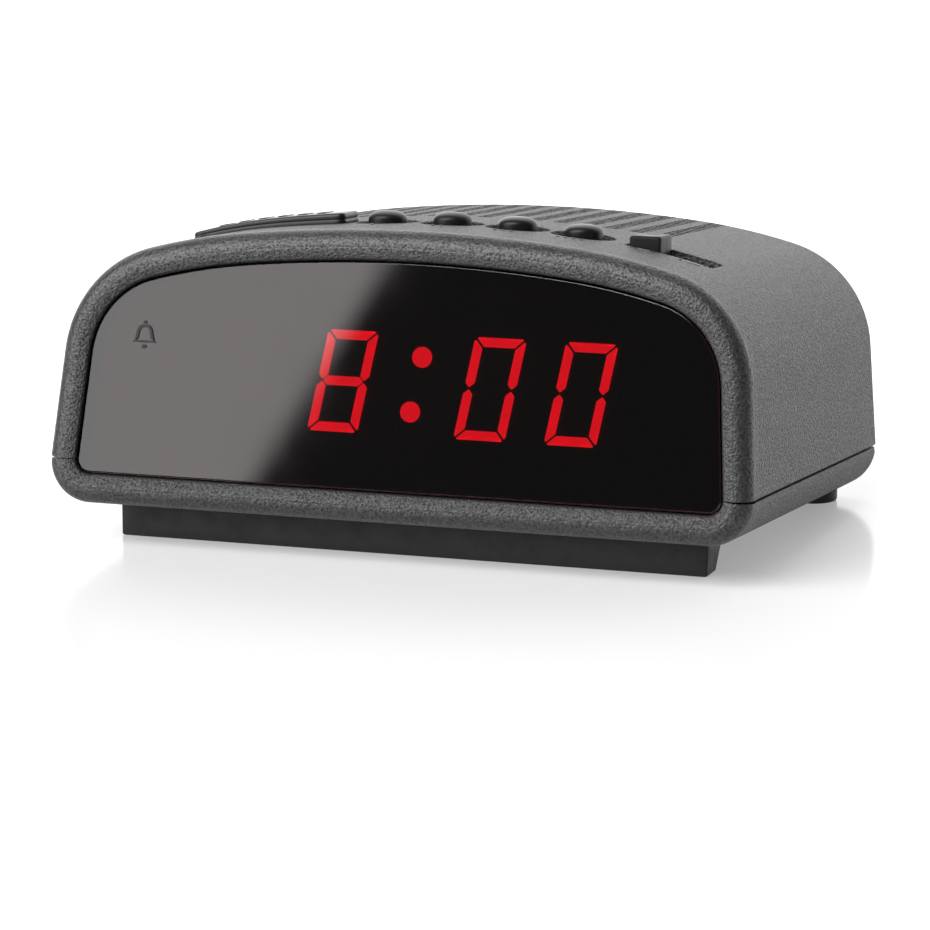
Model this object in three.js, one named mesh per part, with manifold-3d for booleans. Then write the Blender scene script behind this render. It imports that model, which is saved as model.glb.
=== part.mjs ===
// Mains clock with a red LED display, a snooze bar, four buttons and a slide switch on its top.
// Millimetres. The case is drawn in its own frame (+X right, +Y back, +Z up), where the display
// window's front edge lies at y = 0, and the whole case then leans back onto its feet.
import * as THREE from "three";
import { mergeVertices } from "three/addons/utils/BufferGeometryUtils.js";
import Module from "manifold-3d";

const wasm = await Module();
wasm.setup();

// ---- Driving dimensions ----------------------------------------------------------------------

const DEG = Math.PI / 180;
const GAP = 0.3; // between pieces that touch in the real product
const SLIDE_GAP = 0.3; // around a piece that slides

// Case, seen from the front: flat bottom, leaning sides and a top made of three arcs a side
const LEAN = 3.72 * DEG; // of the whole case, backwards
const CASE_HALF_WIDTH = 55.7;
const CASE_BOTTOM = 6.36; // height of the flat underside above the table plane at y = 0
const CASE_HEIGHT = 43.2;
const CASE_DEPTH = 72.8; // from the window to the rear wall's outer face
const BOTTOM_CORNER_R = 6.7;
const SIDE_LEAN = 4.57 * DEG;
const CORNER_R = 17.6;
const SHOULDER_R = 98;
const CROWN_R = 240;
const CROWN_END = 83.7 * DEG; // direction where the crown arc meets the shoulder arc
const REAR_DROP = 0.62; // how much lower the top is at the back
const REAR_EDGE_R = 2.3;
const FACE_TILT = 7.42 * DEG; // of the front face against the case
const WALL = 2;
const SEAM_HEIGHT = 6.7; // of the parting line above the underside

// Bezel and window
const BEZEL_WIDTH = 4.55;
const BEZEL_CREST = 2.5; // distance of the bezel's foremost line from its outer edge
const BEZEL_PROUD = 1.2; // how far that line stands in front of the window
const BEZEL_SIDE = 1.4; // depth where the rounding meets the case's side
const LIP = 1.4; // thickness of the bezel around the window
const WINDOW_THICKNESS = 1.5; // of the window's flange behind the lip
const WINDOW_FLANGE = 2.2; // how far the flange reaches behind the lip
const GROOVE_RIB = 1.2;

// Feet
const FRONT_FOOT_HALF = CASE_HALF_WIDTH - 9.2;
const FRONT_FOOT_Y = 8.3;
const FRONT_FOOT_DEPTH = 5.4; // along the table
const FRONT_FOOT_FLARE = 2.1; // how much deeper it is at its top
const REAR_FOOT_R = 3.75;
const REAR_FOOT_X = CASE_HALF_WIDTH - 8.9;
const REAR_FOOT_Y = CASE_DEPTH - 6;
const PEG_R = 1.4; // pegs that hold the feet

// Row of controls along the top
const ROW_Y = 24.5;
const BUTTON_R = 2.95;
const BUTTON_PROUD = 1.9;
const BUTTON_PITCH = 10.5;
const BUTTON_FIRST_X = -10;
const BUTTON_TRAVEL = 0.8;
const BUTTON_NAMES = ["time", "alarm", "hour", "minute"];
const DISH_R = 5;
const DISH_DEPTH = 1;
const FLANGE_WIDTH = 1.25; // collar under each button that keeps it in the case
const FLANGE_THICKNESS = 0.9;
const SLEEVE_WALL = 1.3;
const SNOOZE_X = [-41, -16.5];
const SNOOZE_DEPTH = 7;
const SNOOZE_PROUD = 1.2;
const SNOOZE_RIBS = 6;
const SLOT_X = [29.3, 42];
const SLOT_DEPTH = 5.4;
const KNOB_WIDTH = 4.9;
const KNOB_DEPTH = 4.6;
const KNOB_PROUD = 1.9;
const KNOB_INSET = 1; // from the slot's end to the knob
const SWITCH_TRAVEL = 5.5;

// Grille of short slots
const GRILLE_PITCH_X = 4.14;
const GRILLE_PITCH_Y = 2.07;
const GRILLE_SLOT = [2.1, 0.9];
const GRILLE_Y = CASE_DEPTH - 17.8;

// Display
const DISPLAY_X = 1.66; // centre of the colon
const DIGIT_HEIGHT = 15.24;
const DIGIT_BOTTOM = 13.24; // above the case's underside, along the front face
const DIGIT_WIDTH = 8;
const DIGIT_PITCH = 14.14;
const COLON_SPACE = 11.64; // from the colon to the middle of the next digit
const DIGIT_SLANT = 10.2 * DEG;
const SEGMENT_WIDTH = 1.4;
const COLON_R = 1.55;
const COLON_HEIGHTS = [3.6, 11.8]; // above the digits' bottom
const DISPLAY_DEPTH = 3.9; // from the window's front to the diffuser
const DISPLAY_MARGIN = 2.2;
const FILM = 0.3;
const REFLECTOR_THICKNESS = 6;
const BOARD_THICKNESS = 1.6;
const DISPLAY_BOARD_MARGIN = [5, 7]; // beyond the reflector, sideways and up or down

// Main board, under the controls
const BOARD_Z = CASE_BOTTOM + CASE_HEIGHT - 13.36; // its underside
const BOARD_HALF = CASE_HALF_WIDTH - 13.9;
const BOARD_Y = [ROW_Y - 5, ROW_Y + 14.5];
const BOARD_SCREW_X = [-38, -12, 14, 38];
const BOARD_SCREW_Y = ROW_Y + 10;
const TACT_SIZE = 6;
const TACT_HEIGHT = 3.3;
const TACT_STEM_R = 1.7;
const TACT_STEM_PROUD = 1.3;
const SLIDE_BODY = [12.4, 6.4, 3.5];
const LEVER = [3, 2.4];
const LEVER_IN_KNOB = 1.9;
const KNOB_PLATE = 0.5;
const KNOB_PLATE_EDGE = 1.5;

// Loudspeaker
const SPEAKER_R = 14;
const SPEAKER_RIM = 1.2;
const SPEAKER_DROP = 1.6; // of its rim below the inside of the top
const SPEAKER_DEPTH = 5.4;
const MAGNET_R = 8.5;
const MAGNET_HEIGHT = 3.6;
const COLLAR_WALL = 1.8;
const COLLAR_REACH = 2.6; // below the speaker's rim

// Transformer, on the floor
const CORE = [28, 16, 23.5];
const CORE_X = -19;
const CORE_Y = CASE_DEPTH - 20.8;
const LIMB = 9.4; // width of the core's middle limb
const YOKE = 4.7;
const WINDING = 4.2; // thickness around the limb
const STRAP = 0.8;
const STRAP_WIDTH = 8;
const STRAP_EAR = 6;
const STRAP_BOSS_R = 2.6;

// Cord gland in the rear wall, gripped at the parting line
const GLAND_X = 30;
const GLAND_RISE = 2.9; // of its middle above the parting line
const GLAND_R = 4.9;
const GLAND_FLANGE = 1.5;
const GLAND_HOLE = [6.6, 6.2];

// Screws
const SCREW_R = 1;
const SCREW_HEAD_R = 2.1;
const SCREW_HEAD = 1.5;
const CASE_SCREW = { x: CASE_HALF_WIDTH - 9.7, y: [24, CASE_DEPTH - 15.3], length: 14, head: 2.7 };
const CASE_BOSS_R = 3.2;
const SMALL_BOSS_R = 2.4;
const SMALL_SCREW = 5.5;

// ---- Worked-out places -----------------------------------------------------------------------

const CASE_TOP = CASE_BOTTOM + CASE_HEIGHT;
const FLOOR_Z = CASE_BOTTOM + WALL;
const SEAM_Z = CASE_BOTTOM + SEAM_HEIGHT;
const GLAND_Z = SEAM_Z + GLAND_RISE;
const FACE_SLOPE = Math.tan(FACE_TILT);
const BOARD_TOP = BOARD_Z + BOARD_THICKNESS;
const TACT_TOP = BOARD_TOP + GAP + TACT_HEIGHT;
const STEM_TOP = TACT_TOP + TACT_STEM_PROUD;
const BUTTON_FOOT = STEM_TOP + GAP;
const FLANGE_Z = BUTTON_FOOT + BUTTON_TRAVEL; // underside of the collar under a button
const SLEEVE_Z = FLANGE_Z + FLANGE_THICKNESS + GAP;
const BUTTONS = BUTTON_NAMES.map((name, i) => ({ name, x: BUTTON_FIRST_X + i * BUTTON_PITCH }));
const SNOOZE_MID = (SNOOZE_X[0] + SNOOZE_X[1]) / 2;
const KNOB_X = SLOT_X[0] + KNOB_INSET + KNOB_WIDTH / 2;
const THROUGH_R = SCREW_R + 0.5;
const PILOT_R = SCREW_R + GAP;
const DIGITS_X = [-COLON_SPACE - DIGIT_PITCH, -COLON_SPACE, COLON_SPACE, COLON_SPACE + DIGIT_PITCH];

// ---- Materials -------------------------------------------------------------------------------

const finish = (color, roughness, metalness = 0) =>
  new THREE.MeshStandardMaterial({ color, roughness, metalness });
const CHARCOAL = finish(0x3c3d3f, 0.6);
const SATIN_BLACK = finish(0x18181a, 0.35);
const WINDOW = finish(0x070708, 0.05);
const FOOT_RUBBER = finish(0x232325, 0.5);
const BOARD = finish(0x8a6b35, 0.7);
const WHITE_PLASTIC = finish(0xd8d8d2, 0.5);
const RED_FILM = finish(0xc01018, 0.4);
const STEEL = finish(0xa8a9ab, 0.35, 1);
const LAMINATION = finish(0x55565a, 0.5, 1);
const COPPER = finish(0xb06a38, 0.4, 1);
const FERRITE = finish(0x2c2c2e, 0.6);
const PAPER = finish(0x3a3530, 0.9);
const RIBBON = finish(0x9a9a9c, 0.6);

// ---- Solids ----------------------------------------------------------------------------------

// A closed geometry as a manifold-3d solid, with its faces turned outwards.
function solid(geometry) {
  const bare = geometry.clone();
  bare.deleteAttribute("normal");
  bare.deleteAttribute("uv");
  const merged = mergeVertices(bare, 1e-4);
  const vertProperties = new Float32Array(merged.attributes.position.array);
  const triVerts = new Uint32Array(merged.index.array);
  const made = new wasm.Manifold(new wasm.Mesh({ numProp: 3, vertProperties, triVerts }));
  if (made.volume() > 0) return made;
  return new wasm.Manifold(new wasm.Mesh({ numProp: 3, vertProperties, triVerts: triVerts.reverse() }));
}

// A solid as a three.js geometry.
function geometryOf(made) {
  const mesh = made.getMesh();
  const geometry = new THREE.BufferGeometry();
  geometry.setAttribute("position", new THREE.BufferAttribute(mesh.vertProperties, 3));
  geometry.setIndex(new THREE.BufferAttribute(mesh.triVerts, 1));
  geometry.computeVertexNormals();
  return geometry;
}

const join = (first, ...rest) => rest.reduce((sum, part) => sum.add(part), first);
const cut = (first, ...rest) => rest.reduce((sum, part) => sum.subtract(part), first);

// A box between two corners, given as a range along each axis.
function box([x0, x1], [y0, y1], [z0, z1]) {
  const made = new THREE.BoxGeometry(x1 - x0, y1 - y0, z1 - z0);
  return solid(made.translate((x0 + x1) / 2, (y0 + y1) / 2, (z0 + z1) / 2));
}

const about = (middle, width) => [middle - width / 2, middle + width / 2];

// An upright cylinder.
function rod(r, x, y, [z0, z1], sides = 16) {
  const made = new THREE.CylinderGeometry(r, r, z1 - z0, sides).rotateX(Math.PI / 2);
  return solid(made.translate(x, y, (z0 + z1) / 2));
}

// A body of revolution about an upright axis, from a closed profile of [radius, height] points.
function turned(profile, x, y, sides = 16) {
  const points = profile.map(([r, z]) => new THREE.Vector2(r, z));
  return solid(new THREE.LatheGeometry(points, sides).rotateX(Math.PI / 2).translate(x, y, 0));
}

// A profile of [x, z] points carried along Y.
function prismY(points, [y0, y1]) {
  const shape = new THREE.Shape(points.map(([x, z]) => new THREE.Vector2(x, z)));
  const made = new THREE.ExtrudeGeometry(shape, { depth: y1 - y0, bevelEnabled: false });
  return solid(made.rotateX(Math.PI / 2).translate(0, y1, 0));
}

// A profile of [y, z] points carried along X.
function prismX(points, [x0, x1]) {
  const shape = new THREE.Shape(points.map(([y, z]) => new THREE.Vector2(y, z)));
  const made = new THREE.ExtrudeGeometry(shape, { depth: x1 - x0, bevelEnabled: false });
  return solid(made.rotateY(Math.PI / 2).rotateX(Math.PI / 2).translate(x0, 0, 0));
}

// ---- Case outline ----------------------------------------------------------------------------

const dir = (angle) => new THREE.Vector2(Math.cos(angle), Math.sin(angle));

// The centres of the outline's arcs on the right half, and the direction where the small corner
// arc meets the shoulder. The corner arc touches both the shoulder arc and the leaning side.
function outlineArcs() {
  const crown = new THREE.Vector2(0, CASE_TOP - CROWN_R);
  const shoulder = crown.clone().addScaledVector(dir(CROWN_END), CROWN_R - SHOULDER_R);
  const bottom = new THREE.Vector2(CASE_HALF_WIDTH - BOTTOM_CORNER_R, CASE_BOTTOM + BOTTOM_CORNER_R);
  const side = dir(SIDE_LEAN).dot(bottom) + BOTTOM_CORNER_R;
  const reach = SHOULDER_R - CORNER_R;
  const turn = Math.acos((side - CORNER_R - dir(SIDE_LEAN).dot(shoulder)) / reach) + SIDE_LEAN;
  const corner = shoulder.clone().addScaledVector(dir(turn), reach);
  return { crown, shoulder, corner, bottom, turn };
}

const ARCS = outlineArcs();

function arc(centre, r, from, to, steps) {
  return Array.from({ length: steps + 1 }, (_, i) => {
    const d = dir(from + ((to - from) * i) / steps);
    return [centre.x + r * d.x, centre.y + r * d.y];
  });
}

// The outline drawn in by an inset, as [x, z] points, counter-clockwise from the bottom's middle.
function outline(inset) {
  const right = [
    [0, CASE_BOTTOM + inset],
    ...arc(ARCS.bottom, Math.max(BOTTOM_CORNER_R - inset, 0.3), -90 * DEG, SIDE_LEAN, 4),
    ...arc(ARCS.corner, CORNER_R - inset, SIDE_LEAN, ARCS.turn, 7),
    ...arc(ARCS.shoulder, SHOULDER_R - inset, ARCS.turn, CROWN_END, 2).slice(1),
    ...arc(ARCS.crown, CROWN_R - inset, CROWN_END, 90 * DEG, 3).slice(1),
  ];
  const left = right.slice(1, -1).reverse();
  return [...right, ...left.map(([x, z]) => [-x, z])];
}

// Height of the top's outer surface.
function roofZ(x, y = ROW_Y) {
  const ax = Math.abs(x);
  const arcs = [
    [ARCS.crown, CROWN_R, CROWN_R * Math.cos(CROWN_END)],
    [ARCS.shoulder, SHOULDER_R, ARCS.shoulder.x + SHOULDER_R * Math.cos(ARCS.turn)],
    [ARCS.corner, CORNER_R, Infinity],
  ];
  const [centre, r] = arcs.find(([, , end]) => ax <= end);
  return dropped(centre.y + Math.sqrt(r * r - (ax - centre.x) ** 2), y);
}

// A height in the case, lowered towards the back as the top drops.
function dropped(z, y) {
  return CASE_BOTTOM + (z - CASE_BOTTOM) * (1 - (REAR_DROP * Math.max(y, 0)) / (CASE_DEPTH * CASE_HEIGHT));
}

// A solid through stations of [inset, depth, tilt], where a tilt of 1 lies parallel to the front
// face and 0 is upright.
function caseSolid(stations) {
  const rings = stations.map(([inset, depth, tilt]) =>
    outline(inset).map(([x, z]) => {
      const y = depth + tilt * FACE_SLOPE * (z - CASE_BOTTOM);
      return [x, y, dropped(z, y)];
    }),
  );
  const count = rings[0].length;
  const index = [];
  rings.slice(1).forEach((_, ring) => {
    for (let i = 0; i < count; i++) {
      const a = ring * count + i;
      const b = ring * count + ((i + 1) % count);
      index.push(a, a + count, b, b, a + count, b + count);
    }
  });
  const last = (rings.length - 1) * count;
  const flat = rings[0].map(([x, , z]) => new THREE.Vector2(x, z));
  THREE.ShapeUtils.triangulateShape(flat, []).forEach(([a, b, c]) => {
    index.push(a, b, c, last + a, last + c, last + b);
  });
  const geometry = new THREE.BufferGeometry();
  geometry.setAttribute("position", new THREE.Float32BufferAttribute(rings.flat(2), 3));
  geometry.setIndex(index);
  return solid(geometry);
}

// A rounded edge as stations, from one [inset, depth] to another along a quarter of an ellipse.
function rounding([inset0, depth0], [inset1, depth1], steps, tilt) {
  return Array.from({ length: steps + 1 }, (_, i) => {
    const a = ((90 * DEG) * i) / steps;
    const inset = inset0 + (inset1 - inset0) * (1 - Math.cos(a));
    return [inset, depth0 + (depth1 - depth0) * Math.sin(a), tilt];
  });
}

// The front face's own frame: x, depth behind the window's front, height along the face.
const FACE_FRAME = new THREE.Matrix4()
  .makeTranslation(0, 0, CASE_BOTTOM)
  .multiply(new THREE.Matrix4().makeRotationX(-FACE_TILT));

function onFace(made) {
  return solid(geometryOf(made).applyMatrix4(FACE_FRAME));
}

// ---- Case shells -----------------------------------------------------------------------------

const BACK_OF_WINDOW = LIP + WINDOW_THICKNESS + 2 * GAP;

function wholeCase() {
  return caseSolid([
    [BEZEL_WIDTH, 0, 1],
    ...rounding([0, BEZEL_SIDE], [BEZEL_CREST, -BEZEL_PROUD], 3, 1).reverse(),
    ...rounding([0, CASE_DEPTH - REAR_EDGE_R], [REAR_EDGE_R, CASE_DEPTH], 2, 0),
  ]);
}

function shell(whole) {
  const inside = caseSolid([
    [WALL, LIP, 1],
    [WALL, CASE_DEPTH - WALL - REAR_EDGE_R / 2, 0],
    [WALL + REAR_EDGE_R / 2, CASE_DEPTH - WALL, 0],
  ]);
  const opening = caseSolid([
    [BEZEL_WIDTH, -BEZEL_PROUD - 1, 1],
    [BEZEL_WIDTH, LIP + 1, 1],
  ]);
  const rib = cut(
    caseSolid([
      [WALL - 0.5, BACK_OF_WINDOW, 1],
      [WALL - 0.5, BACK_OF_WINDOW + GROOVE_RIB, 1],
    ]),
    caseSolid([
      [BEZEL_WIDTH - 0.4, BACK_OF_WINDOW - 1, 1],
      [BEZEL_WIDTH - 0.4, BACK_OF_WINDOW + GROOVE_RIB + 1, 1],
    ]),
  );
  return join(cut(whole, inside, opening), rib);
}

const FAR = 200;
const above = (z) => box([-FAR, FAR], [-FAR, FAR], [z, FAR]);
const below = (z) => box([-FAR, FAR], [-FAR, FAR], [-FAR, z]);

// The gland's hole in the rear wall, and the space its inner collar takes.
function glandHole() {
  const hole = new THREE.CylinderGeometry(GLAND_R + GAP, GLAND_R + GAP, 4 * WALL, 20);
  return solid(hole.translate(GLAND_X, CASE_DEPTH - WALL, GLAND_Z));
}

const GUIDE_X = [-13, 30]; // slotted guides that hold the display board
const DISPLAY_BACK = DISPLAY_DEPTH + FILM + REFLECTOR_THICKNESS + 2 * GAP; // depth of its board
const GUIDE = { width: 4, cover: 2, bite: 2 };
const DISPLAY_HEIGHTS = [DIGIT_BOTTOM - DISPLAY_MARGIN, DIGIT_BOTTOM + DIGIT_HEIGHT + DISPLAY_MARGIN];
const DISPLAY_BOARD_HEIGHTS = [
  DISPLAY_HEIGHTS[0] - DISPLAY_BOARD_MARGIN[1],
  DISPLAY_HEIGHTS[1] + DISPLAY_BOARD_MARGIN[1] / 2,
];

// A guide block with a slot for the display board's edge, kept clear of the main board.
function boardGuide(x, [low, high], [slotLow, slotHigh]) {
  const depths = [DISPLAY_BACK - GAP - GUIDE.cover, DISPLAY_BACK + BOARD_THICKNESS + GAP + GUIDE.cover];
  const block = box(about(x, GUIDE.width), depths, [low, high]);
  const slotDepths = [DISPLAY_BACK - GAP, DISPLAY_BACK + BOARD_THICKNESS + GAP];
  const slot = box(about(x, GUIDE.width + 2), slotDepths, [slotLow, slotHigh]);
  const clear = BOARD_Y[0] - GAP;
  return onFace(cut(block, slot)).intersect(box([-FAR, FAR], [-FAR, clear], [-FAR, FAR]));
}

function speakerCollar() {
  const rim = roofZ(SPEAKER_R, GRILLE_Y) - WALL - SPEAKER_DROP;
  const outer = SPEAKER_R + GAP + COLLAR_WALL;
  const foot = rim - SPEAKER_RIM - COLLAR_REACH;
  const tube = rod(outer, 0, GRILLE_Y, [foot, CASE_TOP], 24);
  const seat = rod(SPEAKER_R + GAP, 0, GRILLE_Y, [foot - 1, rim + GAP], 24);
  const throat = rod(SPEAKER_R - SPEAKER_RIM, 0, GRILLE_Y, [foot - 1, CASE_TOP - WALL], 24);
  return cut(tube, seat, throat);
}

const speakerRim = () => roofZ(SPEAKER_R, GRILLE_Y) - WALL - SPEAKER_DROP;

// Slots of the grille that lie over the loudspeaker.
function grilleSlots() {
  const slots = [];
  const open = SPEAKER_R - SPEAKER_RIM - GRILLE_SLOT[0] / 2 - 0.4;
  const columns = Math.floor(open / GRILLE_PITCH_X);
  const rows = Math.floor(open / GRILLE_PITCH_Y);
  for (let i = -columns; i <= columns; i++) {
    for (let j = -rows; j <= rows; j++) {
      const x = i * GRILLE_PITCH_X;
      const y = j * GRILLE_PITCH_Y;
      if (Math.hypot(x, y) > open) continue;
      const depth = [roofZ(x, GRILLE_Y) - 2 * WALL, CASE_TOP + 1];
      slots.push(box(about(x, GRILLE_SLOT[0]), about(GRILLE_Y + y, GRILLE_SLOT[1]), depth));
    }
  }
  return join(...slots);
}

function caseScrewPlaces() {
  const places = [];
  for (const side of [-1, 1]) {
    for (const y of CASE_SCREW.y) places.push([side * CASE_SCREW.x, y]);
  }
  return places;
}

function upperHousing(whole, hollow) {
  const sleeveR = BUTTON_R + SLIDE_GAP + SLEEVE_WALL;
  const inner = [
    ...BUTTONS.map(({ x }) => rod(sleeveR, x, ROW_Y, [SLEEVE_Z, CASE_TOP])),
    ...caseScrewPlaces().map(([x, y]) => rod(CASE_BOSS_R, x, y, [SEAM_Z + GAP, CASE_TOP])),
    ...BOARD_SCREW_X.map((x) => rod(SMALL_BOSS_R, x, BOARD_SCREW_Y, [BOARD_TOP + GAP, CASE_TOP])),
    ...GUIDE_X.map((x) =>
      boardGuide(x, [DISPLAY_BOARD_HEIGHTS[1] - GUIDE.bite, CASE_HEIGHT],
        [0, DISPLAY_BOARD_HEIGHTS[1] + GAP])),
    speakerCollar(),
  ];
  const holes = [
    ...BUTTONS.map(({ x }) => rod(BUTTON_R + SLIDE_GAP, x, ROW_Y, [0, CASE_TOP + 1])),
    ...BUTTONS.map(({ x }) => rod(DISH_R, x, ROW_Y, [roofZ(x) - DISH_DEPTH, CASE_TOP + 1], 20)),
    ...caseScrewPlaces().map(([x, y]) => rod(PILOT_R, x, y, [0, SEAM_Z + CASE_SCREW.length], 10)),
    ...BOARD_SCREW_X.map((x) => rod(PILOT_R, x, BOARD_SCREW_Y, [0, BOARD_TOP + SMALL_SCREW], 10)),
    box(about(SNOOZE_MID, SNOOZE_X[1] - SNOOZE_X[0] + 2 * SLIDE_GAP),
      about(ROW_Y, SNOOZE_DEPTH + 2 * SLIDE_GAP), [roofZ(SNOOZE_X[0]) - 2 * WALL, CASE_TOP + 1]),
    box(SLOT_X, about(ROW_Y, SLOT_DEPTH), [roofZ(SLOT_X[1]) - 2 * WALL, CASE_TOP + 1]),
    grilleSlots(),
    glandHole(),
  ];
  const filled = join(hollow, join(...inner).intersect(whole));
  return cut(filled, ...holes).intersect(above(SEAM_Z + GAP / 2));
}

const strapEars = () => [-1, 1].map((side) => CORE_X + side * (CORE[0] / 2 + GAP + STRAP + STRAP_EAR / 2));
const CORE_Z = FLOOR_Z + GAP;
const STRAP_BOSS_TOP = CORE_Z + 2.5;

function footPegs() {
  const span = FRONT_FOOT_HALF * 0.7;
  const y = FRONT_FOOT_Y + (FRONT_FOOT_DEPTH + FRONT_FOOT_FLARE) / 2;
  return [[-span, y], [0, y], [span, y]];
}

const rearFootPlaces = () => [[-REAR_FOOT_X, REAR_FOOT_Y], [REAR_FOOT_X, REAR_FOOT_Y]];

function lowerHousing(whole, hollow) {
  const headR = CASE_SCREW.head + 0.4;
  const seatZ = SEAM_Z - 2.2;
  const inner = [
    ...caseScrewPlaces().map(([x, y]) => rod(headR + 1.2, x, y, [CASE_BOTTOM, SEAM_Z - GAP])),
    ...strapEars().map((x) => rod(STRAP_BOSS_R, x, CORE_Y, [CASE_BOTTOM, STRAP_BOSS_TOP])),
    ...GUIDE_X.map((x) =>
      boardGuide(x, [0, DISPLAY_BOARD_HEIGHTS[0] + GUIDE.bite],
        [DISPLAY_BOARD_HEIGHTS[0] - GAP, CASE_HEIGHT])),
  ];
  const pegHoles = [...footPegs(), ...rearFootPlaces()];
  const holes = [
    ...caseScrewPlaces().map(([x, y]) => rod(headR, x, y, [0, seatZ])),
    ...caseScrewPlaces().map(([x, y]) => rod(THROUGH_R, x, y, [0, SEAM_Z + 1], 10)),
    ...strapEars().map((x) => rod(PILOT_R, x, CORE_Y, [CASE_BOTTOM + 1, STRAP_BOSS_TOP + 1], 10)),
    ...pegHoles.map(([x, y]) => rod(PEG_R + GAP, x, y, [0, FLOOR_Z + 1], 12)),
    glandHole(),
  ];
  const filled = join(hollow, join(...inner).intersect(whole));
  return cut(filled, ...holes).intersect(below(SEAM_Z - GAP / 2));
}

// ---- Window and feet -------------------------------------------------------------------------

// A dark plate: its middle fills the bezel and its flange sits in the groove behind the lip.
function displayWindow() {
  const flange = LIP + GAP;
  return caseSolid([
    [BEZEL_WIDTH + GAP, 0.1, 1],
    [BEZEL_WIDTH + GAP, flange, 1],
    [BEZEL_WIDTH - WINDOW_FLANGE, flange, 1],
    [BEZEL_WIDTH - WINDOW_FLANGE, flange + WINDOW_THICKNESS, 1],
  ]);
}

const tableZ = (y) => y * Math.tan(LEAN);

// Wedge under the front edge that tips the case back.
function frontFoot() {
  const top = CASE_BOTTOM - GAP;
  const back = FRONT_FOOT_Y + FRONT_FOOT_DEPTH;
  const profile = [
    [FRONT_FOOT_Y, tableZ(FRONT_FOOT_Y)],
    [back, tableZ(back)],
    [back + FRONT_FOOT_FLARE, top],
    [FRONT_FOOT_Y, top],
  ];
  const pegs = footPegs().map(([x, y]) => rod(PEG_R, x, y, [top - 0.5, FLOOR_Z], 16));
  return join(prismX(profile, [-FRONT_FOOT_HALF, FRONT_FOOT_HALF]), ...pegs);
}

// Round pad whose underside lies on the table.
function rearFoot([x, y]) {
  const top = CASE_BOTTOM - GAP;
  const pad = new THREE.CylinderGeometry(REAR_FOOT_R, REAR_FOOT_R, 1, 24);
  pad.rotateX(Math.PI / 2).translate(x, y, 0);
  const place = pad.attributes.position;
  for (let i = 0; i < place.count; i++) {
    place.setZ(i, place.getZ(i) > 0 ? top : tableZ(place.getY(i)));
  }
  return join(solid(pad), rod(PEG_R, x, y, [top - 0.5, FLOOR_Z], 16));
}

// ---- Controls --------------------------------------------------------------------------------

// Domed cap, shaft through the sleeve, collar under it and a pusher for the switch.
function button(x) {
  const top = roofZ(x) + BUTTON_PROUD;
  const edge = 0.9;
  const dome = [[0, top], [BUTTON_R * 0.45, top - 0.1], [BUTTON_R * 0.8, top - 0.4]];
  const side = [[BUTTON_R, top - edge], [BUTTON_R, FLANGE_Z + FLANGE_THICKNESS]];
  const collarR = BUTTON_R + FLANGE_WIDTH;
  const collar = [[collarR, FLANGE_Z + FLANGE_THICKNESS], [collarR, FLANGE_Z], [TACT_STEM_R, FLANGE_Z]];
  const profile = [...dome, ...side, ...collar, [TACT_STEM_R, BUTTON_FOOT], [0, BUTTON_FOOT]];
  return turned(profile, x, ROW_Y);
}

// A strip that follows the top between two heights above it.
function topStrip([x0, x1], [low, high], depth, steps = 8) {
  const xs = Array.from({ length: steps + 1 }, (_, i) => x0 + ((x1 - x0) * i) / steps);
  const lower = xs.map((x) => [x, roofZ(x) + low]);
  const upper = xs.map((x) => [x, roofZ(x) + high]).reverse();
  return prismY([...lower, ...upper], about(ROW_Y, depth));
}

function snoozeBar() {
  const underside = -WALL - 0.6;
  const foot = underside - FLANGE_THICKNESS;
  const bar = topStrip(SNOOZE_X, [foot, SNOOZE_PROUD], SNOOZE_DEPTH);
  const collarX = [SNOOZE_X[0] - FLANGE_WIDTH, SNOOZE_X[1] + FLANGE_WIDTH];
  const collar = topStrip(collarX, [foot, underside], SNOOZE_DEPTH + 2 * FLANGE_WIDTH);
  const pusher = rod(TACT_STEM_R, SNOOZE_MID, ROW_Y, [BUTTON_FOOT, roofZ(SNOOZE_MID)], 16);
  const pitch = (SNOOZE_X[1] - SNOOZE_X[0]) / (SNOOZE_RIBS + 1.5);
  const ribs = Array.from({ length: SNOOZE_RIBS }, (_, i) => {
    const x = SNOOZE_MID + (i - (SNOOZE_RIBS - 1) / 2) * pitch;
    return topStrip(about(x, pitch * 0.6), [0, SNOOZE_PROUD + 0.25], SNOOZE_DEPTH * 0.45, 2);
  });
  return join(bar, collar, pusher, ...ribs);
}

const KNOB_PLATE_Z = BOARD_TOP + 2 * GAP + SLIDE_BODY[2];

function switchKnob() {
  const top = roofZ(KNOB_X) + KNOB_PROUD;
  const post = box(about(KNOB_X, KNOB_WIDTH), about(ROW_Y, KNOB_DEPTH), [KNOB_PLATE_Z, top]);
  const plateWidth = KNOB_WIDTH + 2 * KNOB_PLATE_EDGE;
  const plateDepth = KNOB_DEPTH + 2 * KNOB_PLATE_EDGE;
  const plateHeights = [KNOB_PLATE_Z, KNOB_PLATE_Z + KNOB_PLATE];
  const plate = box(about(KNOB_X, plateWidth), about(ROW_Y, plateDepth), plateHeights);
  const socket = box(about(KNOB_X, LEVER[0] + 2 * GAP), about(ROW_Y, LEVER[1] + 2 * GAP),
    [0, KNOB_PLATE_Z + LEVER_IN_KNOB + GAP]);
  return cut(join(post, plate), socket);
}

const LEVER_Z = BOARD_TOP + GAP + SLIDE_BODY[2] * 0.45;

function switchLever() {
  return box(about(KNOB_X, LEVER[0]), about(ROW_Y, LEVER[1]), [LEVER_Z, KNOB_PLATE_Z + LEVER_IN_KNOB]);
}

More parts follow.
